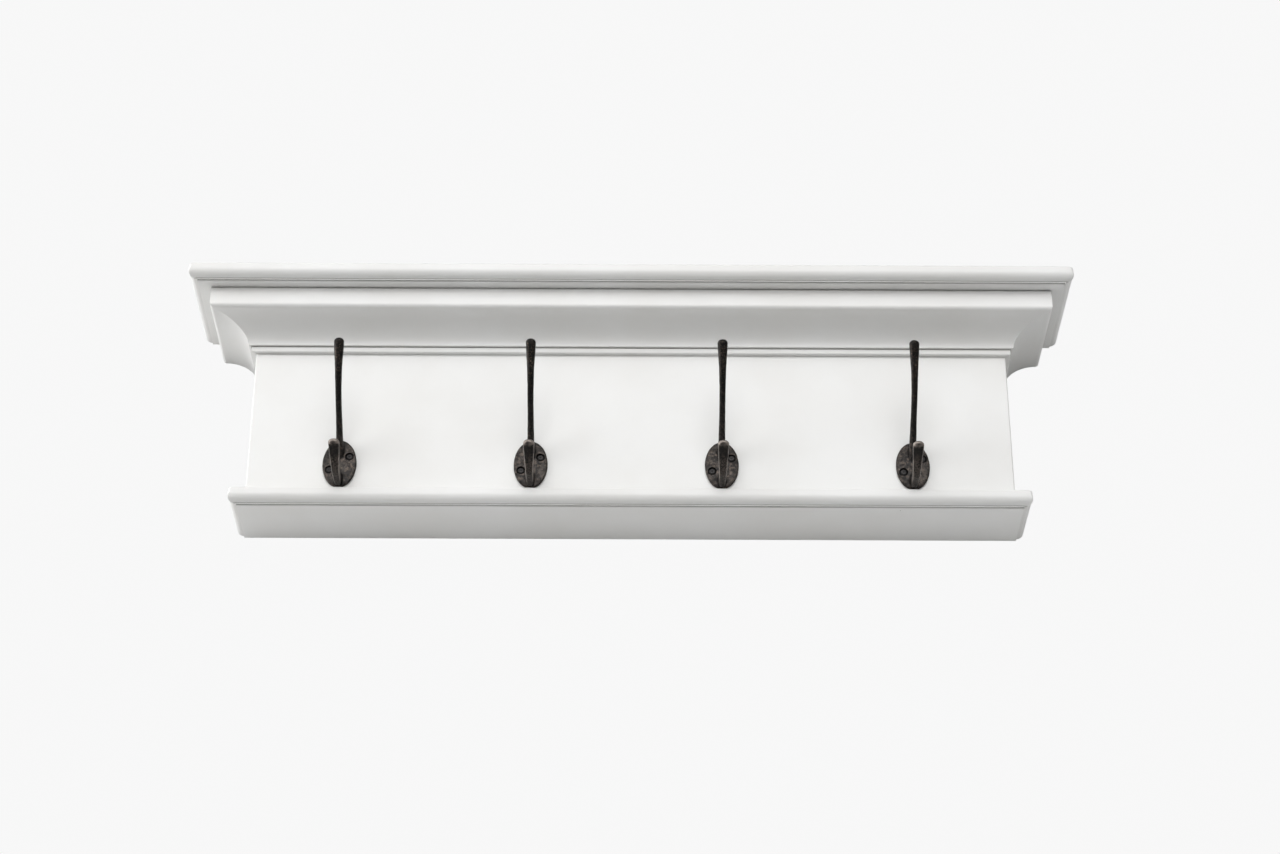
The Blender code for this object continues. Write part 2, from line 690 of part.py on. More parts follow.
def lower_arm_stations():
    """(out, up, width, thickness): out of the plate's foot, level, then turning up to the tip."""
    reach = LOWER_ARM_REACH
    foot = HOOK_PLATE_HEIGHT / 2
    drop = LOWER_TIP_DROP
    tip = LOWER_TIP_WIDTH
    return [
        (0.0010, -0.66 * foot, 0.62 * tip, 1.30 * tip),
        (0.22 * reach, -0.84 * foot, 0.62 * tip, 0.80 * tip),
        (0.50 * reach, -0.87 * foot, 0.68 * tip, 0.64 * tip),
        (0.77 * reach, -0.5 * (0.87 * foot + drop), 0.82 * tip, 0.60 * tip),
        (reach, -drop, tip, 0.60 * tip),
    ]


def hook_mesh(iron):
    """The casting, made once and shared by the four hooks. Its origin is on the board's face."""
    hook = place("hook", hook_plate(), iron, "hook")
    cut_with(hook, arm(upper_arm_stations(), 2.3), "upper_arm", "UNION")
    cut_with(hook, arm(lower_arm_stations(), 3.2), "lower_arm", "UNION")
    face = JOINT_GAP + hook_plate_face()
    profile = seat_profile(HOOK_SCREW_HEAD, HOOK_SCREW_SHANK, HOOK_SCREW_SINK)
    for sign in (1, -1):
        seat = Matrix.Translation((sign * HOOK_SCREW_ACROSS, -face, sign * HOOK_SCREW_UP)) @ OUTWARD
        cut_with(hook, turned(profile, SEAT_SEGMENTS, seat), "countersink")
    behind_low = (-HOOK_PLATE_WIDTH, -JOINT_GAP, -HOOK_PLATE_HEIGHT)
    behind_high = (HOOK_PLATE_WIDTH, UPPER_TIP_WIDTH, HOOK_PLATE_HEIGHT)
    cut_with(hook, block(behind_low, behind_high), "flat_back")
    mesh = hook.data
    mesh.name = "hook"
    bpy.data.objects.remove(hook)
    return mesh


def add_hooks(iron, black):
    casting = hook_mesh(iron)
    screw = screw_mesh("hook_screw", HOOK_SCREW_HEAD, HOOK_SCREW_SHANK, HOOK_SCREW_LENGTH, black)
    head = BOX_DEPTH + JOINT_GAP + hook_plate_face() - HOOK_SCREW_SINK
    for number, x in enumerate(HOOK_XS, 1):
        place_copy(casting, f"hook_{number}", (x, -BOX_DEPTH, HOOK_CENTRE_Z))
        for sign, label in ((1, "upper"), (-1, "lower")):
            place_at = (x + sign * HOOK_SCREW_ACROSS, -head, HOOK_CENTRE_Z + sign * HOOK_SCREW_UP)
            place_copy(screw, f"hook_{number}_screw_{label}", place_at)


# ---------------------------------------------------------------- the rack
for leftover in list(bpy.data.objects):
    bpy.data.objects.remove(leftover)

rack = bpy.data.objects.new("wall_hook_rack", None)
bpy.context.scene.collection.objects.link(rack)

white_paint = make_material("white_paint", (0.83, 0.83, 0.81), 0.42, 0.0)
raw_wood = make_material("raw_wood", (0.56, 0.40, 0.25), 0.75, 0.0)
cast_iron = make_material("cast_iron", (0.035, 0.030, 0.028), 0.5, 0.85)
black_steel = make_material("black_steel", (0.02, 0.02, 0.02), 0.45, 0.9)
zinc_steel = make_material("zinc_steel", (0.62, 0.62, 0.60), 0.35, 1.0)

add_box(white_paint, raw_wood)
add_crown(white_paint)
add_dowels(raw_wood)
add_keyhole_plates(zinc_steel)
add_hooks(cast_iron, black_steel)
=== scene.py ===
import math

import bmesh
import bpy
import numpy as np
from mathutils import Matrix, Vector


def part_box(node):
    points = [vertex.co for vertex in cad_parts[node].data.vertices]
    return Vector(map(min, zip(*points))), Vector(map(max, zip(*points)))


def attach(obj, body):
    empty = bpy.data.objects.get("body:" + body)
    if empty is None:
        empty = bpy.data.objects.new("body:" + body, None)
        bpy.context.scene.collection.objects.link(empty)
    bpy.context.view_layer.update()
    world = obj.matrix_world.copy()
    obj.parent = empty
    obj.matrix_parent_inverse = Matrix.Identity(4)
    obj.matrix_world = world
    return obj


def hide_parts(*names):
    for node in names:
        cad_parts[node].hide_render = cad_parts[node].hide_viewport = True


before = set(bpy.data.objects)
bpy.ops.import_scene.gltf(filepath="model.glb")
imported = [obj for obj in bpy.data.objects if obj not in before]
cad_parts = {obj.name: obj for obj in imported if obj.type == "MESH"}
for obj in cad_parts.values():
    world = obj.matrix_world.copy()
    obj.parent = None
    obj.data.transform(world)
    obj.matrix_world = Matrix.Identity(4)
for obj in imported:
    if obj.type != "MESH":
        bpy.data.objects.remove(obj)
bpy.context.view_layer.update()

# ------------------------------------------------------------------------------------------------
# Shelf. A planed board whose front and ends are moulded: a rounded arris, a flat, a quarter round
# that turns under, a small square step and a fine quirk. Sprayed satin white, like all the wood that
# shows, and dowelled and glued down on the box below it.
# ------------------------------------------------------------------------------------------------
SEAM = 0.00004  # what is left of a painted-over joint
PAINT_ROUND = 0.00045  # paint softens every corner this much

EDGE_STEP = 0.0018  # height of the square step
EDGE_OVOLO = 0.0075  # radius of the quarter round
QUIRK_WIDTH = 0.0024  # along the front
QUIRK_END_WIDTH = 0.0004  # along the ends
QUIRK_SLOPE = 0.5  # its depth for its width
QUIRK_LIP = 0.0002
EDGE_TOP_ROUND = 0.003
EDGE_FLAT_RUN = 0.014  # how far the moulded edge's rings run in over the flat faces
PLAN_ROUND = 0.0011  # the upright corners where the edge turns
REAR_RING = 0.001  # the last ring of points before the board's rear
SHARP_PAINT = 38  # degrees between faces, over which a painted edge shades as sharp


def arc(centre, radius, start, end, steps):
    """Points on an arc between two angles in degrees, both ends included."""
    angles = [math.radians(start + (end - start) * k / steps) for k in range(steps + 1)]
    return [(centre[0] + radius * math.cos(a), centre[1] + radius * math.sin(a)) for a in angles]


def softened(section, radius=PAINT_ROUND):
    """Rounds a section's corners and gives each point (u, v, bend): +1 on an arris, -1 in a quirk.

    The section runs anticlockwise round its solid, so a left turn is an arris.
    """
    points = [Vector(p) for p in section]
    soft = [(*points[0], 0.0)]
    for before, here, after in zip(points, points[1:], points[2:]):
        coming = here - before
        going = after - here
        turn = coming.angle_signed(going, 0.0)
        if abs(turn) < math.radians(14):
            soft.append((*here, 0.0))
            continue
        bend = 1.0 if turn < 0 else -1.0
        reach = radius * math.tan(abs(turn) / 2)
        reach = min(reach, 0.42 * coming.length, 0.42 * going.length)
        fade = min(2.2 * radius, 0.3 * coming.length, 0.3 * going.length)
        start = here - coming.normalized() * reach
        end = here + going.normalized() * reach
        soft.append((*(start - coming.normalized() * fade), 0.0))
        for k in range(5):
            t = k / 4
            spot = start.lerp(here, t).lerp(here.lerp(end, t), t)
            soft.append((*spot, bend))
        soft.append((*(end + going.normalized() * fade), 0.0))
    soft.append((*points[-1], 0.0))
    return soft


def close_rings(form, rings):
    """Skins rings of points from the first to the last and caps both ends."""
    loops = [[form.verts.new(point) for point in ring] for ring in rings]
    count = len(loops[0])
    for low, high in zip(loops, loops[1:]):
        for i in range(count):
            j = (i + 1) % count
            form.faces.new((low[i], low[j], high[j], high[i]))
    form.faces.new(reversed(loops[0]))
    form.faces.new(loops[-1])


def meshed(name, form):
    """A bmesh made into a mesh, its faces turned outward."""
    bmesh.ops.recalc_face_normals(form, faces=form.faces)
    mesh = bpy.data.meshes.new(name)
    form.to_mesh(mesh)
    form.free()
    return mesh


def store(mesh, **layers):
    """Keeps one number for each of the mesh's points under each name."""
    for label, values in layers.items():
        layer = mesh.attributes.new(label, "FLOAT", "POINT")
        layer.data.foreach_set("value", np.array(values, np.float32).ravel())


def shaded(mesh, sharp):
    """Smooth shading, but for edges sharper than an angle in degrees."""
    mesh.shade_smooth()
    mesh.set_sharp_from_angle(angle=math.radians(sharp))
    return mesh


def skinned(name, rings, arris, crease):
    """One closed skin over rings of points, with the paint's two attributes on its points: worn arrises and
    painted crease shade.
    """
    form = bmesh.new()
    close_rings(form, rings)
    mesh = meshed(name, form)
    store(mesh, arris=arris, crease=crease)
    return shaded(mesh, SHARP_PAINT)


def placed(name, mesh):
    """A new object in the scene that holds the mesh."""
    piece = bpy.data.objects.new(name, mesh)
    bpy.context.scene.collection.objects.link(piece)
    return piece


def fitted(name, mesh, material, slot, *nodes):
    """Puts a finished mesh in place of the frame's nodes that it stands for."""
    mesh.materials.clear()
    mesh.materials.append(material)
    piece = placed(name, mesh)
    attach(piece, "root")
    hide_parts(*nodes)


class Wire:
    """What comes out of a node. Sums written with it become Math nodes in the same tree."""

    def __init__(self, works, socket):
        self.works = works
        self.socket = socket

    def maths(self, operation, *values):
        return self.works.node("ShaderNodeMath", {"operation": operation}, dict(enumerate(values)))

    def __add__(self, other):
        return self.maths("ADD", self, other)

    def __radd__(self, other):
        return self.maths("ADD", other, self)

    def __sub__(self, other):
        return self.maths("SUBTRACT", self, other)

    def __rsub__(self, other):
        return self.maths("SUBTRACT", other, self)

    def __mul__(self, other):
        return self.maths("MULTIPLY", self, other)

    def __pow__(self, other):
        return self.maths("POWER", self, other)

    def above(self, level, softness):
        """0 below the level and 1 above it, over a band of twice the softness."""
        values = {"Value": self, "From Min": level - softness, "From Max": level + softness}
        return self.works.node("ShaderNodeMapRange", {"interpolation_type": "SMOOTHSTEP"}, values)

    def output(self, name):
        return Wire(self.works, self.socket.node.outputs[name])


class Works:
    """A node tree that is built one node at a time."""

    def __init__(self, tree):
        self.tree = tree

    def node(self, kind, settings=None, values=None):
        """Adds a node with its settings and its sockets' numbers or links, and returns its output."""
        made = self.tree.nodes.new(kind)
        for label, setting in (settings or {}).items():
            setattr(made, label, setting)
        for label, value in (values or {}).items():
            if isinstance(value, Wire):
                self.tree.links.new(value.socket, made.inputs[label])
            else:
                made.inputs[label].default_value = value
        outputs = [output for output in made.outputs if output.enabled]
        return Wire(self, outputs[0]) if outputs else made


class Finish(Works):
    """A surface finish: a Principled shader whose inputs come from its own tree."""

    def __init__(self, name, **constants):
        self.material = bpy.data.materials.new(name)
        self.material.use_nodes = True
        super().__init__(self.material.node_tree)
        self.shader = self.tree.nodes["Principled BSDF"]
        for label, value in constants.items():
            self.shader.inputs[label.replace("_", " ")].default_value = value
        self.place = self.node("ShaderNodeTexCoord").output("Object")

    def stretched(self, stretch, shift=(0, 0, 0)):
        """Where a point of the piece is, drawn out along an axis where stretch is small."""
        values = {"Vector": self.place, "Location": shift, "Scale": stretch}
        return self.node("ShaderNodeMapping", None, values)

    def grain(self, scale, stretch=(1, 1, 1), detail=4.0, roughness=0.55, shift=(0, 0, 0)):
        """Noise over the piece, with its scale in features per metre."""
        spot = self.stretched(stretch, shift)
        values = {"Vector": spot, "Scale": scale, "Detail": detail, "Roughness": roughness, "Distortion": 0.0}
        return self.node("ShaderNodeTexNoise", None, values)

    def attribute(self, name):
        return self.node("ShaderNodeAttribute", {"attribute_name": name}).output("Fac")

    def mixed(self, share, first, second):
        """A colour between two, each a wire or an (r, g, b) tuple."""
        made = self.tree.nodes.new("ShaderNodeMix")
        made.data_type = "RGBA"
        sockets = [socket for socket in made.inputs if socket.enabled]
        for socket, value in zip(sockets, (share, first, second)):
            if isinstance(value, Wire):
                self.tree.links.new(value.socket, socket)
            else:
                socket.default_value = (*value, 1.0) if isinstance(value, tuple) else value
        return Wire(self, next(socket for socket in made.outputs if socket.enabled))

    def shown(self, colour=None, roughness=None, metallic=None, heights=()):
        """Feeds the shader and returns the material. Heights are (wire, metres) pairs, coarse first."""
        for label, wire in (("Base Color", colour), ("Roughness", roughness), ("Metallic", metallic)):
            if wire is not None:
                self.tree.links.new(wire.socket, self.shader.inputs[label])
        normal = None
        for height, depth in heights:
            values = {"Height": height, "Strength": 1.0, "Distance": depth}
            if normal is not None:
                values["Normal"] = normal
            normal = self.node("ShaderNodeBump", None, values)
        if normal is not None:
            self.tree.links.new(normal.socket, self.shader.inputs["Normal"])
        return self.material


PAINT_WHITE = (0.80, 0.80, 0.79)
PAINT_WARM = (0.765, 0.76, 0.742)
# Painted shade: the dark given to quirks and creases, not a colour of the paint.
PAINTED_CREASE_SHADE = (0.20, 0.19, 0.17)
PAINT_RUBBED = (0.70, 0.66, 0.59)
PAINT_SPECK = (0.22, 0.20, 0.17)
GRAIN_RELIEF, PEEL_RELIEF, BRUSH_RELIEF, STIPPLE_RELIEF = 0.00003, 0.000022, 0.00001, 0.000006


def satin_paint(name, along):
    """Sprayed satin white over wood, with painted shade in its creases. The wood's grain, which runs with the
    axis, just shows in relief.
    """
    paint = Finish(name)
    lengthwise = [0.035 if axis == along else 1.0 for axis in "XYZ"]
    brushed = [0.09 if axis == along else 1.0 for axis in "XYZ"]
    cloud = paint.grain(9, detail=3)
    stipple = paint.grain(1500, detail=2, roughness=0.5)
    orange_peel = paint.grain(420, detail=2, roughness=0.4)
    pores = paint.grain(620, lengthwise, detail=5, roughness=0.6)
    strokes = paint.grain(900, brushed, detail=2)
    arris = paint.attribute("arris")
    crease = paint.attribute("crease")
    tone = paint.mixed(cloud.above(0.5, 0.22), PAINT_WHITE, PAINT_WARM)
    # Painted shade: points marked as in a crease are darkened towards the crease colour, as if shade fell
    # there.
    settled = crease * (0.55 + paint.grain(160, detail=3) * 0.35)
    tone = paint.mixed(settled, tone, PAINTED_CREASE_SHADE)
    rubbed = arris * paint.grain(210, detail=6, roughness=0.7).above(0.66, 0.05) * 0.55
    tone = paint.mixed(rubbed, tone, PAINT_RUBBED)
    speck = paint.grain(170, detail=1, shift=(3.1, 1.7, 0.4)).above(0.865, 0.012)
    tone = paint.mixed(speck * 0.55, tone, PAINT_SPECK)
    rough = 0.36 + cloud * 0.10 + stipple * 0.06 + crease * 0.18 - arris * 0.05
    reliefs = (GRAIN_RELIEF, PEEL_RELIEF, BRUSH_RELIEF, STIPPLE_RELIEF)
    return paint.shown(tone, rough, heights=zip((pores, orange_peel, strokes, stipple), reliefs))


shelf_paint = satin_paint("satin_white_shelf", "X")


def moulded_edge(thickness, quirk):
    """The edge's section from the flat underside round to the flat top, as (out, up) from its face."""
    ovolo = arc((-EDGE_OVOLO, EDGE_STEP + EDGE_OVOLO), EDGE_OVOLO, -90, 0, 20)
    crest = arc((-EDGE_TOP_ROUND, thickness - EDGE_TOP_ROUND), EDGE_TOP_ROUND, 0, 90, 10)
    return [
        (-EDGE_OVOLO - EDGE_FLAT_RUN, 0.0),
        (-EDGE_OVOLO - quirk, 0.0),
        (-EDGE_OVOLO - quirk * 0.8, quirk * QUIRK_SLOPE),
        (-EDGE_OVOLO - quirk * 0.3, quirk * QUIRK_SLOPE),
        (-EDGE_OVOLO, QUIRK_LIP),
        *ovolo,
        *crest,
        (-EDGE_TOP_ROUND - EDGE_FLAT_RUN, thickness),
    ]


def moulded_board(name, low, high):
    """A board between two corners, its rear flat on the wall and its other edges moulded."""
    front_section = softened(moulded_edge(high.z - low.z, QUIRK_WIDTH))
    end_section = softened(moulded_edge(high.z - low.z, QUIRK_END_WIDTH))
    rings, arris, crease = [], [], []
    corner = [math.radians(15 * k) for k in range(7)]
    # Marks for the points of half a ring: two on the front, seven round the corner, three on the end.
    near_turn = [0, 0] + [0.8] * len(corner) + [0, 0, 0.4]
    # Painted shade in the quirk under the edge: full along the front, less round the corner, least on the
    # ends.
    crease_shade_share = [1] * 5 + [0.6] * 4 + [0.15] * 3
    for (front_out, front_up, bend), (end_out, end_up, _) in zip(front_section, end_section):
        x, front = high.x + end_out, low.y - front_out
        half = [(0.0, front, front_up), (x - 3 * PLAN_ROUND, front, front_up)]
        for a in corner:
            across = x - PLAN_ROUND + PLAN_ROUND * math.sin(a)
            half.append((across, front + PLAN_ROUND - PLAN_ROUND * math.cos(a), front_up))
        half += [(x, y, end_up) for y in (front + 3 * PLAN_ROUND, high.y - REAR_RING, high.y)]
        rings.append([(px, py, low.z + up) for px, py, up in half]
                     + [(-px, py, low.z + up) for px, py, up in reversed(half[1:])])
        on_edge = front_out > -EDGE_OVOLO - EDGE_FLAT_RUN
        marks = [max(bend, mark * on_edge) for mark in near_turn]
        arris.append(marks + marks[:0:-1])
        crease.append([max(-bend, 0) * share for share in crease_shade_share + crease_shade_share[:0:-1]])
    return skinned(name, rings, arris, crease)


low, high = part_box("shelf")
fitted("shelf_board", moulded_board("shelf_board", low, high), shelf_paint, "painted_board", "shelf")

# ------------------------------------------------------------------------------------------------
# Bottom ledge. The same moulded edge on a narrower board, dowelled up into the box, so that a low
# step runs along in front of the hooks' plates.
# ------------------------------------------------------------------------------------------------
low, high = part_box("bottom_ledge")
high.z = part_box("front_board")[0].z - SEAM
fitted("ledge_board", moulded_board("ledge_board", low, high), shelf_paint, "painted_board", "bottom_ledge")

# ------------------------------------------------------------------------------------------------
# Front board and end panels. Flat boards with eased edges. The front board runs the whole length
# and carries the hooks; the two end panels stand behind it and close the box back to the wall.
# ------------------------------------------------------------------------------------------------
BOARD_EASE = 0.0014
PANEL_EASE = 0.0006

board_paint = satin_paint("satin_white_board", "X")
panel_paint = satin_paint("satin_white_panel", "Z")


def settle(piece):
    """The piece's mesh with its modifiers worked in. The piece itself is used up."""
    bpy.context.view_layer.update()
    graph = bpy.context.evaluated_depsgraph_get()
    mesh = bpy.data.meshes.new_from_object(piece.evaluated_get(graph), depsgraph=graph)
    rough = piece.data
    bpy.data.objects.remove(piece)
    bpy.data.meshes.remove(rough)
    return mesh


def evenly_shaded(piece):
    """The piece's mesh, its flats shading flat and only its roundings shading round."""
    shading = piece.modifiers.new("even_shading", "WEIGHTED_NORMAL")
    shading.weight = 80
    piece.data.shade_smooth()
    return settle(piece)


def eased_board(name, low, high, ease):
    """A board with every arris rounded, and marked for the paint by how near each point is to one."""
    form = bmesh.new()
    matrix = Matrix.Translation((low + high) / 2) @ Matrix.Diagonal((*(high - low), 1))
    bmesh.ops.create_cube(form, size=1.0, matrix=matrix)
    bmesh.ops.bevel(form, geom=form.edges[:], offset=ease, segments=4, profile=0.5, affect="EDGES")
    mesh = evenly_shaded(placed(name, meshed(name, form)))
    small = (8 * ease) ** 2  # the rounding's faces are smaller than this
    near = np.zeros(len(mesh.vertices), np.float32)
    count = np.zeros(len(mesh.vertices), np.float32)
    for face in mesh.polygons:
        for index in face.vertices:
            near[index] += face.area < small
            count[index] += 1
    store(mesh, arris=near / np.maximum(count, 1) * 0.5, crease=near * 0)
    return mesh


low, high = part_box("front_board")
high.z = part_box("shelf")[0].z - SEAM
mesh = eased_board("front_board_face", low, high, BOARD_EASE)
fitted("front_board_face", mesh, board_paint, "painted_board", "front_board")
for side in ("left", "right"):
    low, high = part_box(f"{side}_end_panel")
    low.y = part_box("front_board")[1].y + SEAM
    high.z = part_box("shelf")[0].z - SEAM
    mesh = eased_board(f"{side}_end", low, high, PANEL_EASE)
    fitted(f"{side}_end", mesh, panel_paint, "painted_board", f"{side}_end_panel")

# ------------------------------------------------------------------------------------------------
# Crown moulding. Three lengths of coved moulding under the shelf, mitred at the front corners: a
# rounded fillet against the board, a quirk, the cove, a rounded nose and a flat fascia. Glued and
# pinned, filled and painted over, so the mitres show only as fine lines.
# ------------------------------------------------------------------------------------------------
CROWN_FILLET = (0.0042, 0.0059)  # how far out and how high
CROWN_FILLET_ROUND = 0.0012
COVE_START = 0.007
COVE_RISE = 0.0224
COVE_FULLNESS = 1.85  # 2 is a quarter of an ellipse, and less is flatter
COVE_STEPS = 33
FASCIA_ROUND = 0.004
FASCIA_TOP_ROUND = 0.0021
TOP_SHADE = 0.0024  # how far down from the shelf the crown's top is given painted shade
MITRE_SOFT = 0.0012

crown_paint = satin_paint("satin_white_crown", "X")
return_paint = satin_paint("satin_white_return", "Y")


def crown_section(reach, height):
    """The crown's section as (out from the board, up from its lower edge)."""
    bead = arc((CROWN_FILLET[0] - CROWN_FILLET_ROUND, CROWN_FILLET_ROUND), CROWN_FILLET_ROUND, -90, 0, 8)
    end = reach - FASCIA_ROUND
    cove = []
    for k in range(COVE_STEPS):
        turn = math.pi / 2 * k / COVE_STEPS
        across = math.cos(turn) ** (2 / COVE_FULLNESS)
        up = math.sin(turn) ** (2 / COVE_FULLNESS)
        cove.append((end - (end - COVE_START) * across, CROWN_FILLET[1] + COVE_RISE * up))
    nose = arc((end, CROWN_FILLET[1] + COVE_RISE + FASCIA_ROUND), FASCIA_ROUND, -90, 0, 14)
    top = arc((reach - FASCIA_TOP_ROUND, height - FASCIA_TOP_ROUND), FASCIA_TOP_ROUND, 0, 90, 8)
    return [(0.0, 0.0), *bead, CROWN_FILLET, *cove, *nose, *top, (0.0, height)]


def crown_length(name, places, marks):
    """Crown through some places, each a function from the section's (out, up) to a point, with a mark."""
    section = softened(crown_section(crown_reach, crown_height))[:-1]
    rings, arris, crease = [], [], []
    for place, mark in zip(places, marks):
        rings.append([place(out, up) for out, up, _ in section] + [place(0.0, crown_height)])
        arris.append([max(bend, mark, 0) for _, _, bend in section] + [0])
        # Painted shade: the crown darkens towards its top, where the shelf's overhang throws shadow, as well
        # as in its quirks.
        shade = [min(1, (up - crown_height) / TOP_SHADE + 1) for _, up, _ in section]
        crease.append([max(0, -bend, shelf_shadow) for (_, _, bend), shelf_shadow in zip(section, shade)] + [1])
    return skinned(name, rings, arris, crease)


low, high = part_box("crown_front")
board_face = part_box("front_board")[0].y - SEAM
end_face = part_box("front_board")[1].x + SEAM
crown_reach = board_face - low.y
crown_base = low.z
crown_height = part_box("shelf")[0].z - SEAM - crown_base


def front_place(sign, inward):
    """Across the front, at a distance inward from the mitre."""
    return lambda out, up: (sign * (end_face + out - SEAM - inward), board_face - out, crown_base + up)


def return_place(sign, inward):
    """Back along an end, at a distance inward from the mitre."""
    return lambda out, up: (sign * (end_face + out), board_face - out + SEAM + inward, crown_base + up)


def wall_place(sign):
    """At an end's rear, on the wall."""
    return lambda out, up: (sign * (end_face + out), 0.0, crown_base + up)


places = [front_place(-1, 0), front_place(-1, MITRE_SOFT), front_place(1, MITRE_SOFT), front_place(1, 0)]
mesh = crown_length("crown_across", places, (0.5, 0, 0, 0.5))
fitted("crown_across", mesh, crown_paint, "painted_moulding", "crown_front")
for sign, side in ((-1, "left"), (1, "right")):
    places = [return_place(sign, 0), return_place(sign, MITRE_SOFT), wall_place(sign)]
    mesh = crown_length(f"crown_{side}_end", places, (0.5, 0, 0.3))
    fitted(f"crown_{side}_end", mesh, return_paint, "painted_moulding", f"crown_{side}_return")

# ------------------------------------------------------------------------------------------------
# Rails, glue blocks and dowels. Bare planed pine at the back: a rail under the shelf that the rack
# hangs by, a spacer rail at the foot, and triangular blocks glued in the box's inner corners.
# The beech dowels are shut up in their holes.
# ------------------------------------------------------------------------------------------------
WOOD_EASE = 0.0006
RAIL_EASE = 0.0004
PINE_PALE, PINE_DARK = (0.60, 0.44, 0.27), (0.42, 0.27, 0.14)
BEECH_PALE, BEECH_DARK = (0.58, 0.40, 0.26), (0.48, 0.31, 0.19)
PINE_RINGS, BEECH_RINGS = 34, 120


def bare_wood(name, along, pale, dark, rings):
    """Planed softwood or hardwood: growth rings cut lengthwise, fine fibres and a few dark streaks."""
    wood = Finish(name)
    stretch = [0.05 if axis == along else 1.0 for axis in "XYZ"]
    fibre = [0.02 if axis == along else 1.0 for axis in "XYZ"]
    wander = wood.grain(22, stretch, detail=2)
    spot = wood.stretched(stretch)
    bands = {"Vector": spot, "Scale": rings, "Distortion": 9.0, "Detail": 3.0, "Detail Scale": 0.9}
    growth = wood.node("ShaderNodeTexWave", {"wave_type": "RINGS", "rings_direction": along}, bands)
    growth = growth.output("Fac") * (0.45 + wood.grain(60, stretch, detail=2, shift=(4.0, 1.0, 2.0)) * 0.9)
    fibres = wood.grain(1100, fibre, detail=4)
    tone = wood.mixed((growth ** 2.2) * 0.75 + wander * 0.15, pale, dark)
    tone = wood.mixed(fibres.above(0.62, 0.12) * 0.35, tone, tuple(c * 0.72 for c in dark))
    tone = wood.mixed(wander.above(0.6, 0.2) * 0.3, tone, tuple(min(1.0, c * 1.12) for c in pale))
    rough = 0.62 + fibres * 0.2 - growth * 0.08
    return wood.shown(tone, rough, heights=((growth, 0.00004), (fibres, 0.00005)))


pine = bare_wood("bare_pine", "X", PINE_PALE, PINE_DARK, PINE_RINGS)
upright_pine = bare_wood("bare_pine_upright", "Z", PINE_PALE, PINE_DARK, PINE_RINGS)
beech = bare_wood("beech", "Z", BEECH_PALE, BEECH_DARK, BEECH_RINGS)


def traced(name, node, ease):
    """A copy of a node's solid, its faces merged back to flats and its arrises eased."""
    form = bmesh.new()
    form.from_mesh(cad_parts[node].data)
    bmesh.ops.remove_doubles(form, verts=form.verts, dist=1e-6)
    bmesh.ops.dissolve_limit(form, angle_limit=math.radians(1), verts=form.verts, edges=form.edges)
    piece = placed(name, meshed(name, form))
    rounding = piece.modifiers.new("ease", "BEVEL")
    rounding.width = ease
    rounding.segments = 3
    rounding.limit_method = "ANGLE"
    rounding.angle_limit = math.radians(50)
    return evenly_shaded(piece)


mesh = traced("rail_under_shelf", "hanging_rail", RAIL_EASE)
fitted("rail_under_shelf", mesh, pine, "bare_pine", "hanging_rail")
low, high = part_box("spacer_rail")
fitted("rail_at_foot", eased_board("rail_at_foot", low, high, WOOD_EASE), pine, "bare_pine", "spacer_rail")
for side in ("left", "right"):
    node = f"{side}_corner_block"
    mesh = traced(f"{side}_corner_glue_block", node, WOOD_EASE)
    fitted(f"{side}_corner_glue_block", mesh, upright_pine, "bare_pine", node)
for number in (1, 2, 3):
    node = f"shelf_block_{number}"
    mesh = traced(f"shelf_glue_block_{number}", node, WOOD_EASE)
    fitted(f"shelf_glue_block_{number}", mesh, pine, "bare_pine", node)
for name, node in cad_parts.items():
    if "_dowel_" in name:
        node.data.materials.clear()
        node.data.materials.append(beech)

# ------------------------------------------------------------------------------------------------
# Keyhole plates. Two zinc-plated steel stampings let flush into the back of the rail, each held by
# two countersunk screws. Their keyholes hang clear below the rail, over the open box, so that a
# wall screw's head can pass in and the rack drop down on its shank.
# ------------------------------------------------------------------------------------------------
PLATE_EASE = 0.00025
PLATE_SCREW_SIZES = {"head": 0.0054, "shank": 0.0028, "length": 0.012, "slot_share": 0.30, "recess": 0.0010}
SCREW_SIDES = 40
HEAD_EDGE = 0.0005  # the upright rim of a screw's head
THREAD_PITCH = 0.0012
THREAD_ROOT = 0.40  # the thread's inner radius for the shank's diameter
NECK = 0.45  # and the bare neck's
SLOT_WIDTH = 0.15  # the cross's width for the head's diameter
SLOT_TAPER = 0.45
SHARP_METAL = 32  # degrees


def zinc(name, tint):
    """Bright zinc plate: faint crystal patches, rolling scratches and a little white bloom."""
    metal = Finish(name)
    cells = metal.node("ShaderNodeTexVoronoi", {"feature": "F1"}, {"Vector": metal.place, "Scale": 420.0})
    patch = metal.node("ShaderNodeSeparateColor", None, {"Color": cells.output("Color")})
    scratch = metal.grain(2600, (0.03, 1, 1), detail=3)
    bloom = metal.grain(140, detail=5).above(0.6, 0.12)
    tone = metal.mixed(patch * 0.5, tint, tuple(c * 0.72 for c in tint))
    tone = metal.mixed(bloom * 0.5, tone, (0.72, 0.72, 0.70))
    rough = 0.36 + patch * 0.14 + scratch * 0.12 + bloom * 0.2
    return metal.shown(tone, rough, 1 - bloom * 0.45, heights=((patch, 0.000004), (scratch, 0.000006)))


bright_zinc = zinc("bright_zinc", (0.52, 0.53, 0.54))
yellow_zinc = zinc("yellow_zinc", (0.66, 0.56, 0.36))
for side in ("left", "right"):
    node = f"{side}_keyhole_plate"
    mesh = traced(f"{side}_keyhole_hanger", node, PLATE_EASE)
    fitted(f"{side}_keyhole_hanger", mesh, bright_zinc, "zinc_plate", node)


def oval(half_width, half_height, sides):
    """Points round an oval as (across, up), or round a circle where the two are the same."""
    angles = [2 * math.pi * k / sides for k in range(sides)]
    return [(half_width * math.cos(a), half_height * math.sin(a)) for a in angles]


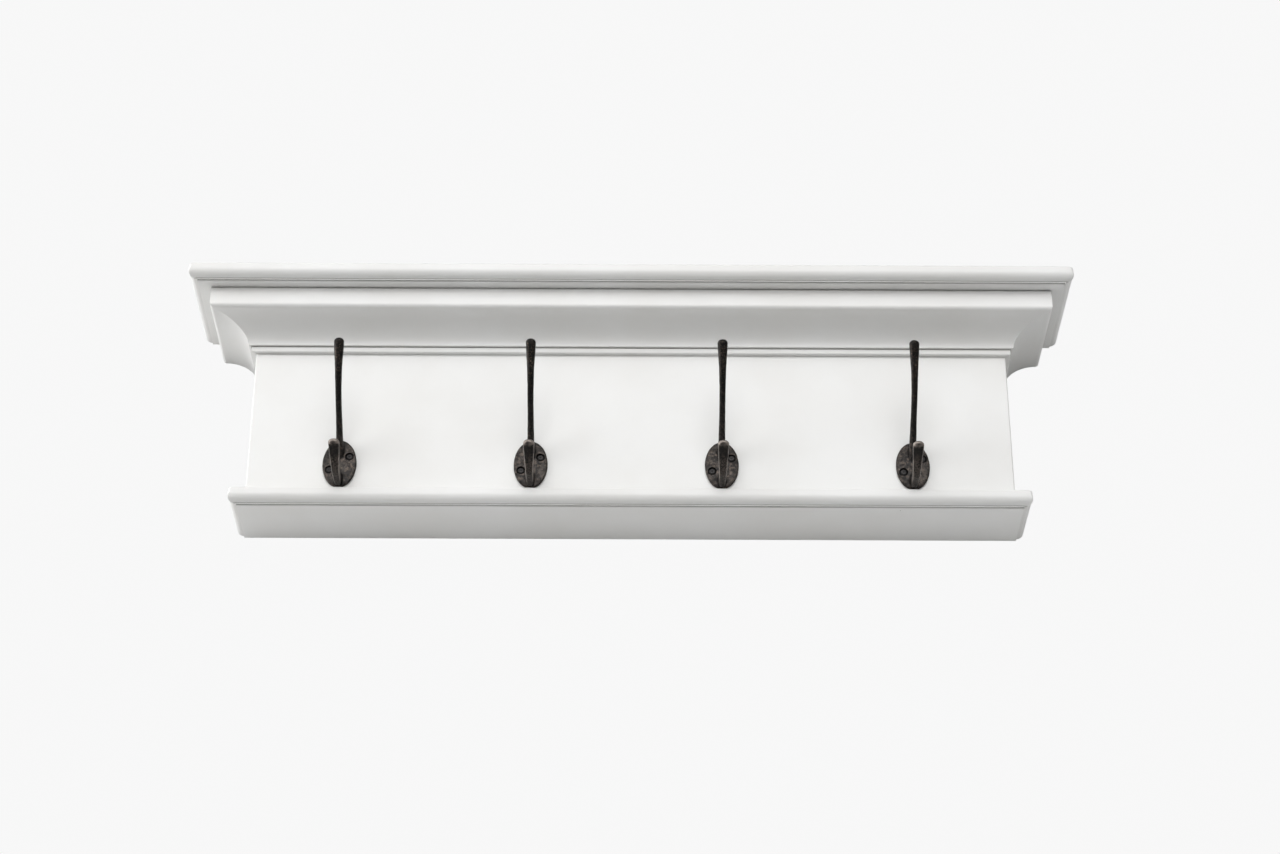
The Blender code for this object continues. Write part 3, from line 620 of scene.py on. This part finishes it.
def cut_away(piece, tool, crossing=False):
    """The piece's mesh less the tool's solid. Crossing says that the tool's parts run through each other."""
    cut = piece.modifiers.new("cut", "BOOLEAN")
    cut.object = tool
    cut.operation = "DIFFERENCE"
    cut.use_self = crossing
    mesh = settle(piece)
    waste = tool.data
    bpy.data.objects.remove(tool)
    bpy.data.meshes.remove(waste)
    return mesh


def screw_form(name, head, shank, length, slot_share, recess):
    """A countersunk cross-head wood screw on the local Z axis, its face at z = 0, with a cut thread."""
    root = shank * THREAD_ROOT
    spot = -length + 2 * shank
    profile = [(shank * 0.04, -length), (root, -length + shank), (shank / 2, spot)]
    while spot < -length * 0.42:
        profile += [(root, spot), (root, spot + 0.0005), (shank / 2, spot + 0.0008)]
        spot += THREAD_PITCH
    profile += [(shank * NECK, spot), (shank * NECK, -(head - shank) / 2 - HEAD_EDGE), (head / 2, -HEAD_EDGE)]
    for inward, down in ((0.0002, 0.7), (0.0005, 0.3), (0.0009, 0.08), (0.0013, 0.0)):
        profile.append((head / 2 - inward, -HEAD_EDGE * down))
    form = bmesh.new()
    rings = [[(x, y, height) for x, y in oval(radius, radius, SCREW_SIDES)] for radius, height in profile]
    close_rings(form, rings)
    piece = placed(name, meshed(name, form))
    cutter = bmesh.new()
    bar = Matrix.Diagonal((head * slot_share * 2, head * SLOT_WIDTH, recess * 2, 1))
    for turn in (0, 90):
        matrix = Matrix.Rotation(math.radians(turn), 4, "Z") @ bar
        bmesh.ops.create_cube(cutter, size=1.0, matrix=matrix)
    for vert in cutter.verts:
        if vert.co.z < 0:
            vert.co.x *= SLOT_TAPER
            vert.co.y *= SLOT_TAPER
    mesh = cut_away(piece, placed("driver", meshed("driver", cutter)), crossing=True)
    return shaded(mesh, SHARP_METAL)


def new_group(name, inputs):
    """A Geometry Nodes group that takes geometry and some named inputs, with the node that gives them."""
    tree = bpy.data.node_groups.new(name, "GeometryNodeTree")
    for label, kind in (("Geometry", "Geometry"), *inputs):
        tree.interface.new_socket(label, in_out="INPUT", socket_type="NodeSocket" + kind)
    tree.interface.new_socket("Geometry", in_out="OUTPUT", socket_type="NodeSocketGeometry")
    works = Works(tree)
    return works, works.node("NodeGroupInput")


def screw_setting(name, finish):
    """A node group that drives one screw into each point of a set of points, each turned differently."""
    works, given = new_group(name, (("Screw", "Object"), ("Facing", "Rotation"), ("Turn seed", "Int")))
    screw = works.node("GeometryNodeObjectInfo", None, {"Object": given.output("Screw")})
    spin = works.tree.nodes.new("FunctionNodeRandomValue")
    works.tree.links.new(given.output("Turn seed").socket, spin.inputs["Seed"])
    least, most, angle = spin.inputs[2], spin.inputs[3], spin.outputs[1]
    least.default_value = 0.0
    most.default_value = math.pi / 2
    axis = {"Axis": (0, 0, 1), "Angle": Wire(works, angle)}
    own_turn = works.node("FunctionNodeAxisAngleToRotation", None, axis)
    settings = {"rotation_space": "LOCAL"}
    values = {"Rotation": given.output("Facing"), "Rotate By": own_turn}
    facing = works.node("FunctionNodeRotateRotation", settings, values)
    values = {"Points": given.output("Geometry"), "Instance": screw.output("Geometry"), "Rotation": facing}
    driven = works.node("GeometryNodeInstanceOnPoints", None, values)
    solid = works.node("GeometryNodeRealizeInstances", None, {"Geometry": driven})
    coated = works.node("GeometryNodeSetMaterial", None, {"Geometry": solid, "Material": finish})
    works.node("NodeGroupOutput", None, {"Geometry": coated})
    return works.tree


def grown(name, points, tree, inputs):
    """Runs a node group over some points and returns the plain mesh that it makes."""
    start = bpy.data.meshes.new(name)
    start.from_pydata(points, [], [])
    piece = placed(name, start)
    modifier = piece.modifiers.new("nodes", "NODES")
    modifier.node_group = tree
    for item in tree.interface.items_tree:
        if item.item_type == "SOCKET" and item.in_out == "INPUT" and item.name in inputs:
            modifier[item.identifier] = inputs[item.name]
    return settle(piece)


def screw_places(nodes, toward_room):
    """The middle of each screw's face, read from the frame."""
    places = []
    for node in nodes:
        low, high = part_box(node)
        middle = (low + high) / 2
        places.append((middle.x, low.y if toward_room else high.y, middle.z))
    return places


def driven_screws(name, form, finish, slot, nodes, toward_room, seed):
    """One piece that stands for a whole set of like screws."""
    pattern = placed(name + "_pattern", form)
    lean = math.pi / 2 if toward_room else -math.pi / 2
    inputs = {"Screw": pattern, "Facing": (lean, 0, 0), "Turn seed": seed}
    mesh = grown(name, screw_places(nodes, toward_room), screw_setting(name, finish), inputs)
    bpy.data.objects.remove(pattern)
    fitted(name, shaded(mesh, SHARP_METAL), finish, slot, *nodes)


plate_screws = [f"{side}_plate_screw_{hand}" for side in ("left", "right") for hand in ("left", "right")]
plate_screw = screw_form("plate_screw", **PLATE_SCREW_SIZES)
driven_screws("plate_screws", plate_screw, yellow_zinc, "zinc_screw", plate_screws, False, 4)

# ------------------------------------------------------------------------------------------------
# Hooks. One-piece iron castings, fettled by hand and waxed black: an oval plate, a long upper arm
# that leans out and then stands up to a swollen tip, and a short flat lower arm that widens to an
# upturned tip. The rims and tips have worn through to brown and bare iron.
# ------------------------------------------------------------------------------------------------
PLATE_GAP = 0.0003  # between the plate's back and the board
PLATE_THICK = 0.003
PLATE_DOME = 0.0008
PLATE_RISE = 0.025  # half the plate's height
PLATE_SIDES = 96
RIM_SHARE, ROUND_SHARE = 0.55, 0.45  # the plate's thickness that is upright at its rim, and rounded
RIM_DRAFT = 0.075  # how much of the plate's width its rounding takes
ARM_SIDES = 28
TIP_LENGTH = 0.4  # a tip's rounding, for its width
VOXEL = 0.00044
HOOK_HEAD = 0.0062
HOOK_SHANK = 0.0034
HOOK_SCREW_OFFSET = (0.0092, 0.0070)  # from the plate's middle
HOOK_SINK = 0.0004
SINK_RIM = HOOK_HEAD / 2 + HOOK_SINK + 0.0004  # the countersink's radius
SINK_NECK = HOOK_SHANK / 2 + 0.0003
SINK_SIDES = 48
PROUD_FULL = 0.00026  # standing this proud counts as 1
SKIN_DEPTH = 0.0004
LUMPS_PER_METRE = 170.0
SHARP_IRON = 50  # degrees

low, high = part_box("hook_1")
plate_half = (high.x - low.x) / 2
upper_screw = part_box("hook_1_screw_upper")
lower_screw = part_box("hook_1_screw_lower")
plate_centre_z = (upper_screw[0].z + upper_screw[1].z + lower_screw[0].z + lower_screw[1].z) / 4
hook_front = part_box("front_board")[0].y

# (out, up, width, thickness, squareness) from the board's face and the plate's middle
UPPER_ARM = (
    (0.0010, 0.0082, 0.0080, 0.0098, 2.2),
    (0.0080, 0.0165, 0.0070, 0.0086, 2.3),
    (0.0163, 0.0246, 0.0064, 0.0076, 2.4),
    (0.0255, 0.0333, 0.0060, 0.0069, 2.4),
    (0.0339, 0.0410, 0.0058, 0.0066, 2.5),
    (0.0420, 0.0488, 0.0058, 0.0064, 2.5),
    (0.0489, 0.0579, 0.0060, 0.0063, 2.5),
    (0.0541, 0.0662, 0.0065, 0.0064, 2.4),
    (0.0577, 0.0738, 0.0070, 0.0068, 2.4),
    (0.0605, 0.0815, 0.0079, 0.0074, 2.3),
    (0.0632, 0.0892, 0.0090, 0.0082, 2.2),
    (0.0662, 0.0964, 0.0097, 0.0087, 2.1),
)
LOWER_ARM = (
    (0.0010, -0.0165, 0.0066, 0.0140, 3.2),
    (0.0065, -0.0192, 0.0066, 0.0108, 3.4),
    (0.0127, -0.0210, 0.0067, 0.0086, 3.6),
    (0.0210, -0.0217, 0.0070, 0.0075, 3.6),
    (0.0288, -0.0216, 0.0074, 0.0069, 3.6),
    (0.0370, -0.0188, 0.0081, 0.0066, 3.4),
    (0.0443, -0.0148, 0.0090, 0.0064, 3.2),
    (0.0515, -0.0108, 0.0101, 0.0064, 2.8),
    (0.0573, -0.0078, 0.0106, 0.0063, 2.5),
)


def smooth_run(stations, steps):
    """A Catmull-Rom run through stations, each a tuple of numbers."""
    padded = [stations[0], *stations, stations[-1]]
    run = []
    for four in zip(padded, padded[1:], padded[2:], padded[3:]):
        for k in range(steps):
            t = k / steps
            spot = []
            for a, b, c, d in zip(*four):
                bow = (2 * a - 5 * b + 4 * c - d) * t * t
                spot.append(0.5 * (2 * b + (c - a) * t + bow + (3 * b - a - 3 * c + d) * t ** 3))
            run.append(spot)
    run.append(list(stations[-1]))
    return run


def add_arm(form, stations):
    """One arm of the casting, ending in a rounded tip, added to a bmesh."""
    run = smooth_run(stations, 5)
    last, before = run[-1], run[-2]
    heading = Vector((last[0] - before[0], last[1] - before[1])).normalized()
    for k in range(1, 8):
        share = math.sin(math.pi / 2 * k / 8)
        shrink = math.sqrt(1 - share * share)
        reach = TIP_LENGTH * last[2] * share
        out, up = last[0] + heading.x * reach, last[1] + heading.y * reach
        run.append([out, up, last[2] * shrink, last[3] * shrink, last[4]])
    rings = []
    for i, (out, up, width, thick, square) in enumerate(run):
        ahead, behind = run[min(i + 1, len(run) - 1)], run[max(i - 1, 0)]
        along = Vector((ahead[0] - behind[0], ahead[1] - behind[1])).normalized()
        across = Vector((-along.y, along.x))
        ring = []
        for k in range(ARM_SIDES):
            turn = 2 * math.pi * (k + 0.5) / ARM_SIDES
            side = math.copysign(abs(math.cos(turn)) ** (2 / square), math.cos(turn)) * width / 2
            lift = math.copysign(abs(math.sin(turn)) ** (2 / square), math.sin(turn)) * thick / 2
            ring.append((side, -(out + across.x * lift), up + across.y * lift))
        rings.append(ring)
    close_rings(form, rings)


def add_plate(form):
    """The oval plate, flat behind, domed a little in front and rounded at its rim."""
    levels = [(1.0, PLATE_GAP), (1.0, PLATE_GAP + PLATE_THICK * RIM_SHARE)]
    for k in range(1, 6):
        turn = math.radians(18 * k)
        thick = PLATE_THICK * (RIM_SHARE + ROUND_SHARE * math.sin(turn))
        levels.append((1 - RIM_DRAFT * (1 - math.cos(turn)), PLATE_GAP + thick))
    for share in (0.8, 0.6, 0.4, 0.2):
        levels.append((share, PLATE_GAP + PLATE_THICK + PLATE_DOME * (1 - share * share)))
    rings = []
    for share, depth in levels:
        outline = oval(plate_half * share, PLATE_RISE * share, PLATE_SIDES)
        rings.append([(x, -depth, z) for x, z in outline])
    close_rings(form, rings)


def arm_rim(spots):
    """How near each point of the casting is to a side edge or the tip of the lower arm, 0 to 1."""
    run = np.array(smooth_run(LOWER_ARM, 12))
    reach = -spots[:, 1]
    along = (reach > 0.008) & (spots[:, 2] < 0.004)
    half = np.interp(reach, run[:, 0], run[:, 2]) / 2
    side = np.abs(spots[:, 0]) / half
    tip = np.clip((reach - LOWER_ARM[-1][0] + 0.0008) / 0.0024, 0, 1)
    edge = np.clip((side - 0.70) / 0.22, 0, 1)
    fade = np.clip((reach - 0.009) / 0.006, 0, 1)
    return np.where(along, np.maximum(edge, tip) * fade, 0.0)


def neighbour_mean(values, ends, count):
    """Each point's mean over the points that it shares an edge with."""
    first, second = ends
    total = np.zeros_like(values)
    for column in range(values.shape[1]):
        total[:, column] = (np.bincount(first, values[second, column], count)
                            + np.bincount(second, values[first, column], count))
    shared = np.bincount(first, minlength=count) + np.bincount(second, minlength=count)
    return total / np.maximum(shared, 1)[:, None]


def mark_wear(mesh):
    """Stores how proud each point stands of the form around it: rims and tips rub first. It stores how sunk
    each point is too, which the iron darkens as painted shade.
    """
    count = len(mesh.vertices)
    spots, normals = np.empty((count, 3)), np.empty((count, 3))
    mesh.vertices.foreach_get("co", spots.ravel())
    mesh.vertices.foreach_get("normal", normals.ravel())
    edges = np.empty(len(mesh.edges) * 2, int)
    mesh.edges.foreach_get("vertices", edges)
    ends = (edges[0::2], edges[1::2])
    settled = spots.copy()
    for _ in range(14):
        settled = 0.4 * settled + 0.6 * neighbour_mean(settled, ends, count)
    proud = ((spots - settled) * normals).sum(1, keepdims=True)
    for _ in range(2):
        proud = 0.5 * proud + 0.5 * neighbour_mean(proud, ends, count)
    store(mesh, proud=np.clip(proud / PROUD_FULL, 0, 1), hollow=np.clip(-proud / PROUD_FULL, 0, 1),
          rim=arm_rim(spots))


def hook_casting():
    """The casting about its plate's middle: its parts run together, eased, then drilled for the screws."""
    form = bmesh.new()
    add_plate(form)
    add_arm(form, UPPER_ARM)
    add_arm(form, LOWER_ARM)
    piece = placed("hook_casting", meshed("hook_casting", form))
    cast = piece.modifiers.new("cast", "REMESH")
    cast.mode = "VOXEL"
    cast.voxel_size = VOXEL
    cast.use_smooth_shade = True
    ease = piece.modifiers.new("ease", "SMOOTH")
    ease.factor = 0.5
    ease.iterations = 6
    mesh = settle(piece)
    for vert in mesh.vertices:
        vert.co.y = min(vert.co.y, -PLATE_GAP)
    mark_wear(mesh)
    across, rise = HOOK_SCREW_OFFSET
    share = (across / plate_half) ** 2 + (rise / PLATE_RISE) ** 2
    face = PLATE_GAP + PLATE_THICK + PLATE_DOME * (1 - share)
    cone = [(SINK_NECK, -0.001), (SINK_NECK, face - SINK_RIM + SINK_NECK)]
    for wider, proud in ((-0.0003, -0.0003), (0, -0.0001), (0.0003, 0.00012), (0.0008, 0.0012)):
        cone.append((SINK_RIM + wider, face + proud))
    drill = bmesh.new()
    for sign in (1, -1):
        rings = []
        for radius, depth in cone:
            outline = oval(radius, radius, SINK_SIDES)
            rings.append([(sign * across + x, -depth, sign * rise + z) for x, z in outline])
        close_rings(drill, rings)
    mesh = cut_away(placed("hook_casting", mesh), placed("countersinks", meshed("countersinks", drill)))
    proud, hollow = mesh.attributes["proud"].data, mesh.attributes["hollow"].data
    for index, vert in enumerate(mesh.vertices):
        x, z = vert.co.x, vert.co.z
        from_screw = min(math.hypot(x - sign * across, z - sign * rise) for sign in (1, -1))
        # Painted shade: points in a countersink are marked wholly hollow, so they are painted dark.
        if vert.co.y > -face - 0.001 and from_screw < SINK_RIM + 0.0003:
            proud[index].value, hollow[index].value = 0.0, 1.0
    return mesh


IRON_BLACK, IRON_GREY = (0.024, 0.0225, 0.022), (0.050, 0.044, 0.040)
IRON_LUMP = (0.092, 0.074, 0.062)
IRON_SCORCH = (0.010, 0.0098, 0.010)
IRON_PAINTED_SHADE = (0.0085, 0.008, 0.0078)  # painted shade, darkening the upper arm and the inside of the lower one
IRON_RUBBED = (0.142, 0.122, 0.110)
IRON_BARE = (0.31, 0.27, 0.24)
IRON_STREAK = (0.20, 0.165, 0.14)
IRON_FLECK = (0.34, 0.26, 0.18)
# Painted shade for hollows and countersinks.
IRON_HOLLOW_SHADE = (0.003, 0.003, 0.003)
# Heights from the plate's middle: the worn part of the upper arm, and where each arm begins.
HANDLED_FROM, HANDLED_TO = 0.066, 0.092
UPPER_ARM_FROM, LOWER_ARM_FROM, ROOT_FROM = 0.026, 0.004, -0.0165


def black_iron(name):
    """Waxed black cast iron: a pitted skin, rubbed to brown on the rims, tips and lower roots, with painted
    shade darkening the arms and the hollows.
    """
    iron = Finish(name, Specular_IOR_Level=0.38)
    sand = iron.grain(1300, detail=5, roughness=0.65)
    lumps = iron.grain(260, detail=4, roughness=0.6)
    cloud = iron.grain(70, detail=3, shift=(1.3, 0.2, 2.1))
    streaks = iron.grain(700, (1, 1, 0.10), detail=4, roughness=0.6)
    proud, hollow, rim = [iron.attribute(label) for label in ("proud", "hollow", "rim")]
    place = iron.node("ShaderNodeSeparateXYZ", None, {"Vector": iron.place})
    height = place.output("Z")
    out = hook_front - place.output("Y")
    tone = iron.mixed(cloud.above(0.5, 0.16), IRON_BLACK, IRON_GREY)
    tone = iron.mixed(lumps.above(0.55, 0.08) * 0.7, tone, IRON_LUMP)
    scorch = iron.grain(380, detail=4, roughness=0.7, shift=(5.0, 3.0, 0.6)).above(0.52, 0.07)
    tone = iron.mixed(scorch * 0.7, tone, IRON_SCORCH)
    below = 1 - height.above(plate_centre_z + HANDLED_TO, 0.008)
    handled = height.above(plate_centre_z + HANDLED_FROM, 0.012) * below
    upper_arm = height.above(plate_centre_z + UPPER_ARM_FROM, 0.008)
    lower_arm = (1 - height.above(plate_centre_z + LOWER_ARM_FROM, 0.002)) * out.above(0.009, 0.003)
    root = (1 - height.above(plate_centre_z + ROOT_FROM, 0.003)) * lower_arm
    # Painted shade: the upper arm, and the lower arm's inner face between its rims, are darkened.
    arm_shade = 1 - (1 - upper_arm * 0.62) * (1 - lower_arm * (1 - rim) * 0.78)
    tone = iron.mixed(arm_shade, tone, IRON_PAINTED_SHADE)
    rub = proud * 1.4 - 0.84 + (lumps - 0.5) * 0.9 + (sand - 0.5) * 0.9 + rim * 0.72 + root * 0.16
    worn = rub.above(0.26, 0.24)
    tone = iron.mixed(worn * 0.8, tone, IRON_RUBBED)
    bare = rub.above(0.58, 0.22) * (0.25 + lower_arm * 0.75)
    tone = iron.mixed(bare * 0.8, tone, IRON_BARE)
    flecks = iron.grain(1050, detail=3, shift=(0.7, 5.0, 1.1)).above(0.62, 0.03) * (0.06 + handled * 0.34)
    tone = iron.mixed(flecks, tone, IRON_FLECK)
    tone = iron.mixed(root * streaks.above(0.5, 0.1) * 0.30, tone, IRON_STREAK)
    # Painted shade: hollows, the countersinks among them, are darkened nearly to black.
    tone = iron.mixed(hollow * 0.92, tone, IRON_HOLLOW_SHADE)
    rough = 0.34 + sand * 0.18 + scorch * 0.10 - worn * 0.06 + hollow * 0.30 - cloud * 0.10 - handled * 0.10
    pits = iron.grain(520, detail=3, roughness=0.7, shift=(2.2, 0.4, 3.1)).above(0.40, 0.12)
    heights = ((lumps, 0.00040), (pits, 0.00010), (streaks, 0.00008), (sand, 0.00012))
    return iron.shown(tone, rough, 0.84 + hollow * 0.16, heights=heights)


def casting_run(finish):
    """A node group that sets a casting in its place and gives it a lumpy skin of its own."""
    inputs = (("Casting", "Object"), ("Skin depth", "Float"), ("Lumps per metre", "Float"))
    works, given = new_group("casting_run", inputs)
    casting = works.node("GeometryNodeObjectInfo", None, {"Object": given.output("Casting")})
    values = {"Points": given.output("Geometry"), "Instance": casting.output("Geometry")}
    poured = works.node("GeometryNodeInstanceOnPoints", None, values)
    solid = works.node("GeometryNodeRealizeInstances", None, {"Geometry": poured})
    place = works.node("GeometryNodeInputPosition")
    values = {"Vector": place, "Scale": given.output("Lumps per metre"), "Detail": 3.0}
    lumps = works.node("ShaderNodeTexNoise", None, values)
    depth = (lumps - 0.5) * given.output("Skin depth")
    normal = works.node("GeometryNodeInputNormal")
    offset = works.node("ShaderNodeVectorMath", {"operation": "SCALE"}, {"Vector": normal, "Scale": depth})
    skinned_form = works.node("GeometryNodeSetPosition", None, {"Geometry": solid, "Offset": offset})
    coated = works.node("GeometryNodeSetMaterial", None, {"Geometry": skinned_form, "Material": finish})
    works.node("NodeGroupOutput", None, {"Geometry": coated})
    return works.tree


waxed_iron = black_iron("waxed_black_iron")
casting = placed("casting", hook_casting())
casting_tree = casting_run(waxed_iron)
for number in (1, 2, 3, 4):
    low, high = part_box(f"hook_{number}")
    name = f"cast_hook_{number}"
    spot = [((low.x + high.x) / 2, hook_front, plate_centre_z)]
    inputs = {"Casting": casting, "Skin depth": SKIN_DEPTH, "Lumps per metre": LUMPS_PER_METRE}
    mesh = shaded(grown(name, spot, casting_tree, inputs), SHARP_IRON)
    fitted(name, mesh, waxed_iron, "cast_iron_hook", f"hook_{number}")
bpy.data.objects.remove(casting)

# ------------------------------------------------------------------------------------------------
# Hook screws. Black oxide countersunk cross-head wood screws, two to a hook, one high on the right
# and one low on the left, their heads just below the plate's face.
# ------------------------------------------------------------------------------------------------
HOOK_SCREW_SIZES = {"length": 0.016, "slot_share": 0.31, "recess": 0.0011}


def black_oxide(name):
    """Blackened steel with an oily sheen, greyer where a driver has scuffed it."""
    steel = Finish(name, Specular_IOR_Level=0.25)
    film = steel.grain(500, detail=3)
    scuff = steel.grain(1800, (1, 1, 0.2), detail=4).above(0.63, 0.06)
    tone = steel.mixed(film, (0.012, 0.012, 0.013), (0.036, 0.034, 0.033))
    tone = steel.mixed(scuff * 0.4, tone, (0.12, 0.11, 0.10))
    return steel.shown(tone, 0.26 + film * 0.22 + scuff * 0.1, 0.88 + scuff * 0.1, heights=((film, 0.00003),))


oxide = black_oxide("black_oxide")
hook_screws = [f"hook_{number}_screw_{hand}" for number in (1, 2, 3, 4) for hand in ("upper", "lower")]
hook_screw = screw_form("hook_screw", HOOK_HEAD, HOOK_SHANK, **HOOK_SCREW_SIZES)
driven_screws("hook_screws", hook_screw, oxide, "black_screw", hook_screws, True, 11)

# ------------------------------------------------------------------------------------------------
# Studio. A pale floor well below the rack, and five large soft lamps: two from the left, which are
# the strongest, two weaker ones in front and one behind. A white card round the rack's outline, in
# the wall's place, throws their light back as a wall does, but the camera does not see it.
# ------------------------------------------------------------------------------------------------
FLOOR_Z = -1.78
STUDIO_HALF = 9.0
CARD_Y = 0.0015
FLOOR_GLOW = 0.62  # lifts the floor to the background's tone
scene = bpy.context.scene
scene.view_settings.view_transform = "Standard"
scene.view_settings.look = "None"


def studio_sheet(name, patches, material):
    """Flat patches, each a list of corners, as one stage object."""
    mesh = bpy.data.meshes.new(name)
    corners = [corner for patch in patches for corner in patch]
    faces = [range(4 * i, 4 * i + 4) for i in range(len(patches))]
    mesh.from_pydata(corners, [], faces)
    mesh.materials.append(material)
    sheet = bpy.data.objects.new(name, mesh)
    scene.collection.objects.link(sheet)
    return sheet


def studio_matt(name, glow):
    """Pale matt card. Its glow only lifts it for the eye and lights nothing."""
    matt = Finish(name, Roughness=0.9, Emission_Strength=1.0)
    tone = matt.mixed(matt.grain(1.5, detail=2), (0.80, 0.80, 0.80), (0.83, 0.83, 0.825))
    seen = matt.node("ShaderNodeLightPath").output("Is Camera Ray")
    lift = matt.mixed(seen, (0.0, 0.0, 0.0), (glow, glow, glow * 0.995))
    matt.tree.links.new(lift.socket, matt.shader.inputs["Emission Color"])
    return matt.shown(tone)


far = STUDIO_HALF
floor = [(-far, -far, FLOOR_Z), (far, -far, FLOOR_Z), (far, far, FLOOR_Z), (-far, far, FLOOR_Z)]
studio_sheet("studio_floor", [floor], studio_matt("studio_floor", FLOOR_GLOW))

shelf_box, crown_box, board_box, ledge_box = [
    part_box(node) for node in ("shelf", "crown_left_return", "front_board", "bottom_ledge")
]
crown_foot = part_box("crown_front")[0].z
# The rack's outline as (height of a level, half the width from there down to the next).
outline = [
    (shelf_box[1].z, -shelf_box[0].x),
    (crown_box[1].z, -crown_box[0].x),
    (crown_foot, -board_box[0].x),
    (ledge_box[1].z, -ledge_box[0].x),
    (ledge_box[0].z, 0.0),
]


def card_patch(start, end, bottom, top):
    """A flat patch of the card between two places across and two heights."""
    return [(start, CARD_Y, bottom), (end, CARD_Y, bottom), (end, CARD_Y, top), (start, CARD_Y, top)]


patches = [card_patch(-far, far, outline[0][0], far)]
for (top, half), (bottom, _) in zip(outline, outline[1:]):
    patches += [card_patch(sign * half, sign * far, bottom, top) for sign in (-1, 1)]
patches.append(card_patch(-far, far, FLOOR_Z, outline[-1][0]))
card = studio_sheet("wall_card", patches, studio_matt("studio_card", 0.0))
card.visible_camera = False

LAMP_AIM = Vector((0, 0, -0.05))
LAMP_SPREAD = math.radians(90)  # keeps the lamps' light on the rack and off the floor


def lamp(name, azimuth, elevation, distance, size, watts):
    """A square soft lamp. Azimuth 0 is straight in front, and 90 is at the rack's right-hand end."""
    turn, lift = math.radians(azimuth), math.radians(elevation)
    light = bpy.data.lights.new(name, "AREA")
    light.shape = "SQUARE"
    light.size = size
    light.energy = watts
    light.spread = LAMP_SPREAD
    holder = bpy.data.objects.new(name, light)
    way = Vector((math.sin(turn) * math.cos(lift), -math.cos(turn) * math.cos(lift), math.sin(lift)))
    holder.location = LAMP_AIM + way * distance
    holder.rotation_mode = "QUATERNION"
    holder.rotation_quaternion = way.to_track_quat("Z", "Y")
    holder.visible_camera = False
    scene.collection.objects.link(holder)


lamp("left_window", -80, 4, 4.0, 3.0, 34)
lamp("left_skylight", -60, 30, 4.0, 3.0, 23)
lamp("front_fill", 0, 25, 4.0, 3.0, 32)
lamp("right_fill", 42, 14, 4.0, 3.0, 8)
lamp("rear_fill", 170, 20, 3.5, 2.0, 30)

AIR_LIGHT = 0.03  # what the air adds to the lamps' light
BEYOND_TONE = 0.935  # what the camera sees past the rack
world = bpy.data.worlds.new("studio_air")
scene.world = world
world.use_nodes = True
air = Works(world.node_tree)
for node in list(world.node_tree.nodes):
    world.node_tree.nodes.remove(node)
sight = air.node("ShaderNodeLightPath").output("Is Camera Ray")
around = air.node("ShaderNodeBackground", None, {"Color": (1.0, 0.995, 0.985, 1), "Strength": AIR_LIGHT})
beyond = air.node("ShaderNodeBackground", None, {"Color": (1, 1, 1, 1), "Strength": BEYOND_TONE})
blend = air.node("ShaderNodeMixShader", None, {0: sight, 1: around, 2: beyond})
air.node("ShaderNodeOutputWorld", None, {"Surface": blend})

# The camera stands below the rack and looks up at it.
CAMERA_PLACE = (0.0040, -2.3875, -1.4197)
CAMERA_PITCH = math.radians(29.53)
CAMERA_YAW = math.radians(0.121)
CAMERA_ROLL = math.radians(0.19)
FOCAL_LENGTH = 78.576  # millimetres, as the next is
SENSOR_WIDTH = 36.0
lens = bpy.data.cameras.new("camera")
lens.sensor_width = SENSOR_WIDTH
lens.lens = FOCAL_LENGTH
lens.clip_end = 60
camera = bpy.data.objects.new("camera", lens)
ahead = math.cos(CAMERA_PITCH)
forward = Vector((math.sin(CAMERA_YAW) * ahead, math.cos(CAMERA_YAW) * ahead, math.sin(CAMERA_PITCH)))
level = forward.cross(Vector((0, 0, 1))).normalized()
upright = level.cross(forward)
right = level * math.cos(CAMERA_ROLL) + upright * math.sin(CAMERA_ROLL)
above = right.cross(forward)
turn = Matrix((right, above, -forward)).transposed().to_4x4()
camera.matrix_world = Matrix.Translation(CAMERA_PLACE) @ turn
scene.collection.objects.link(camera)
scene.camera = camera
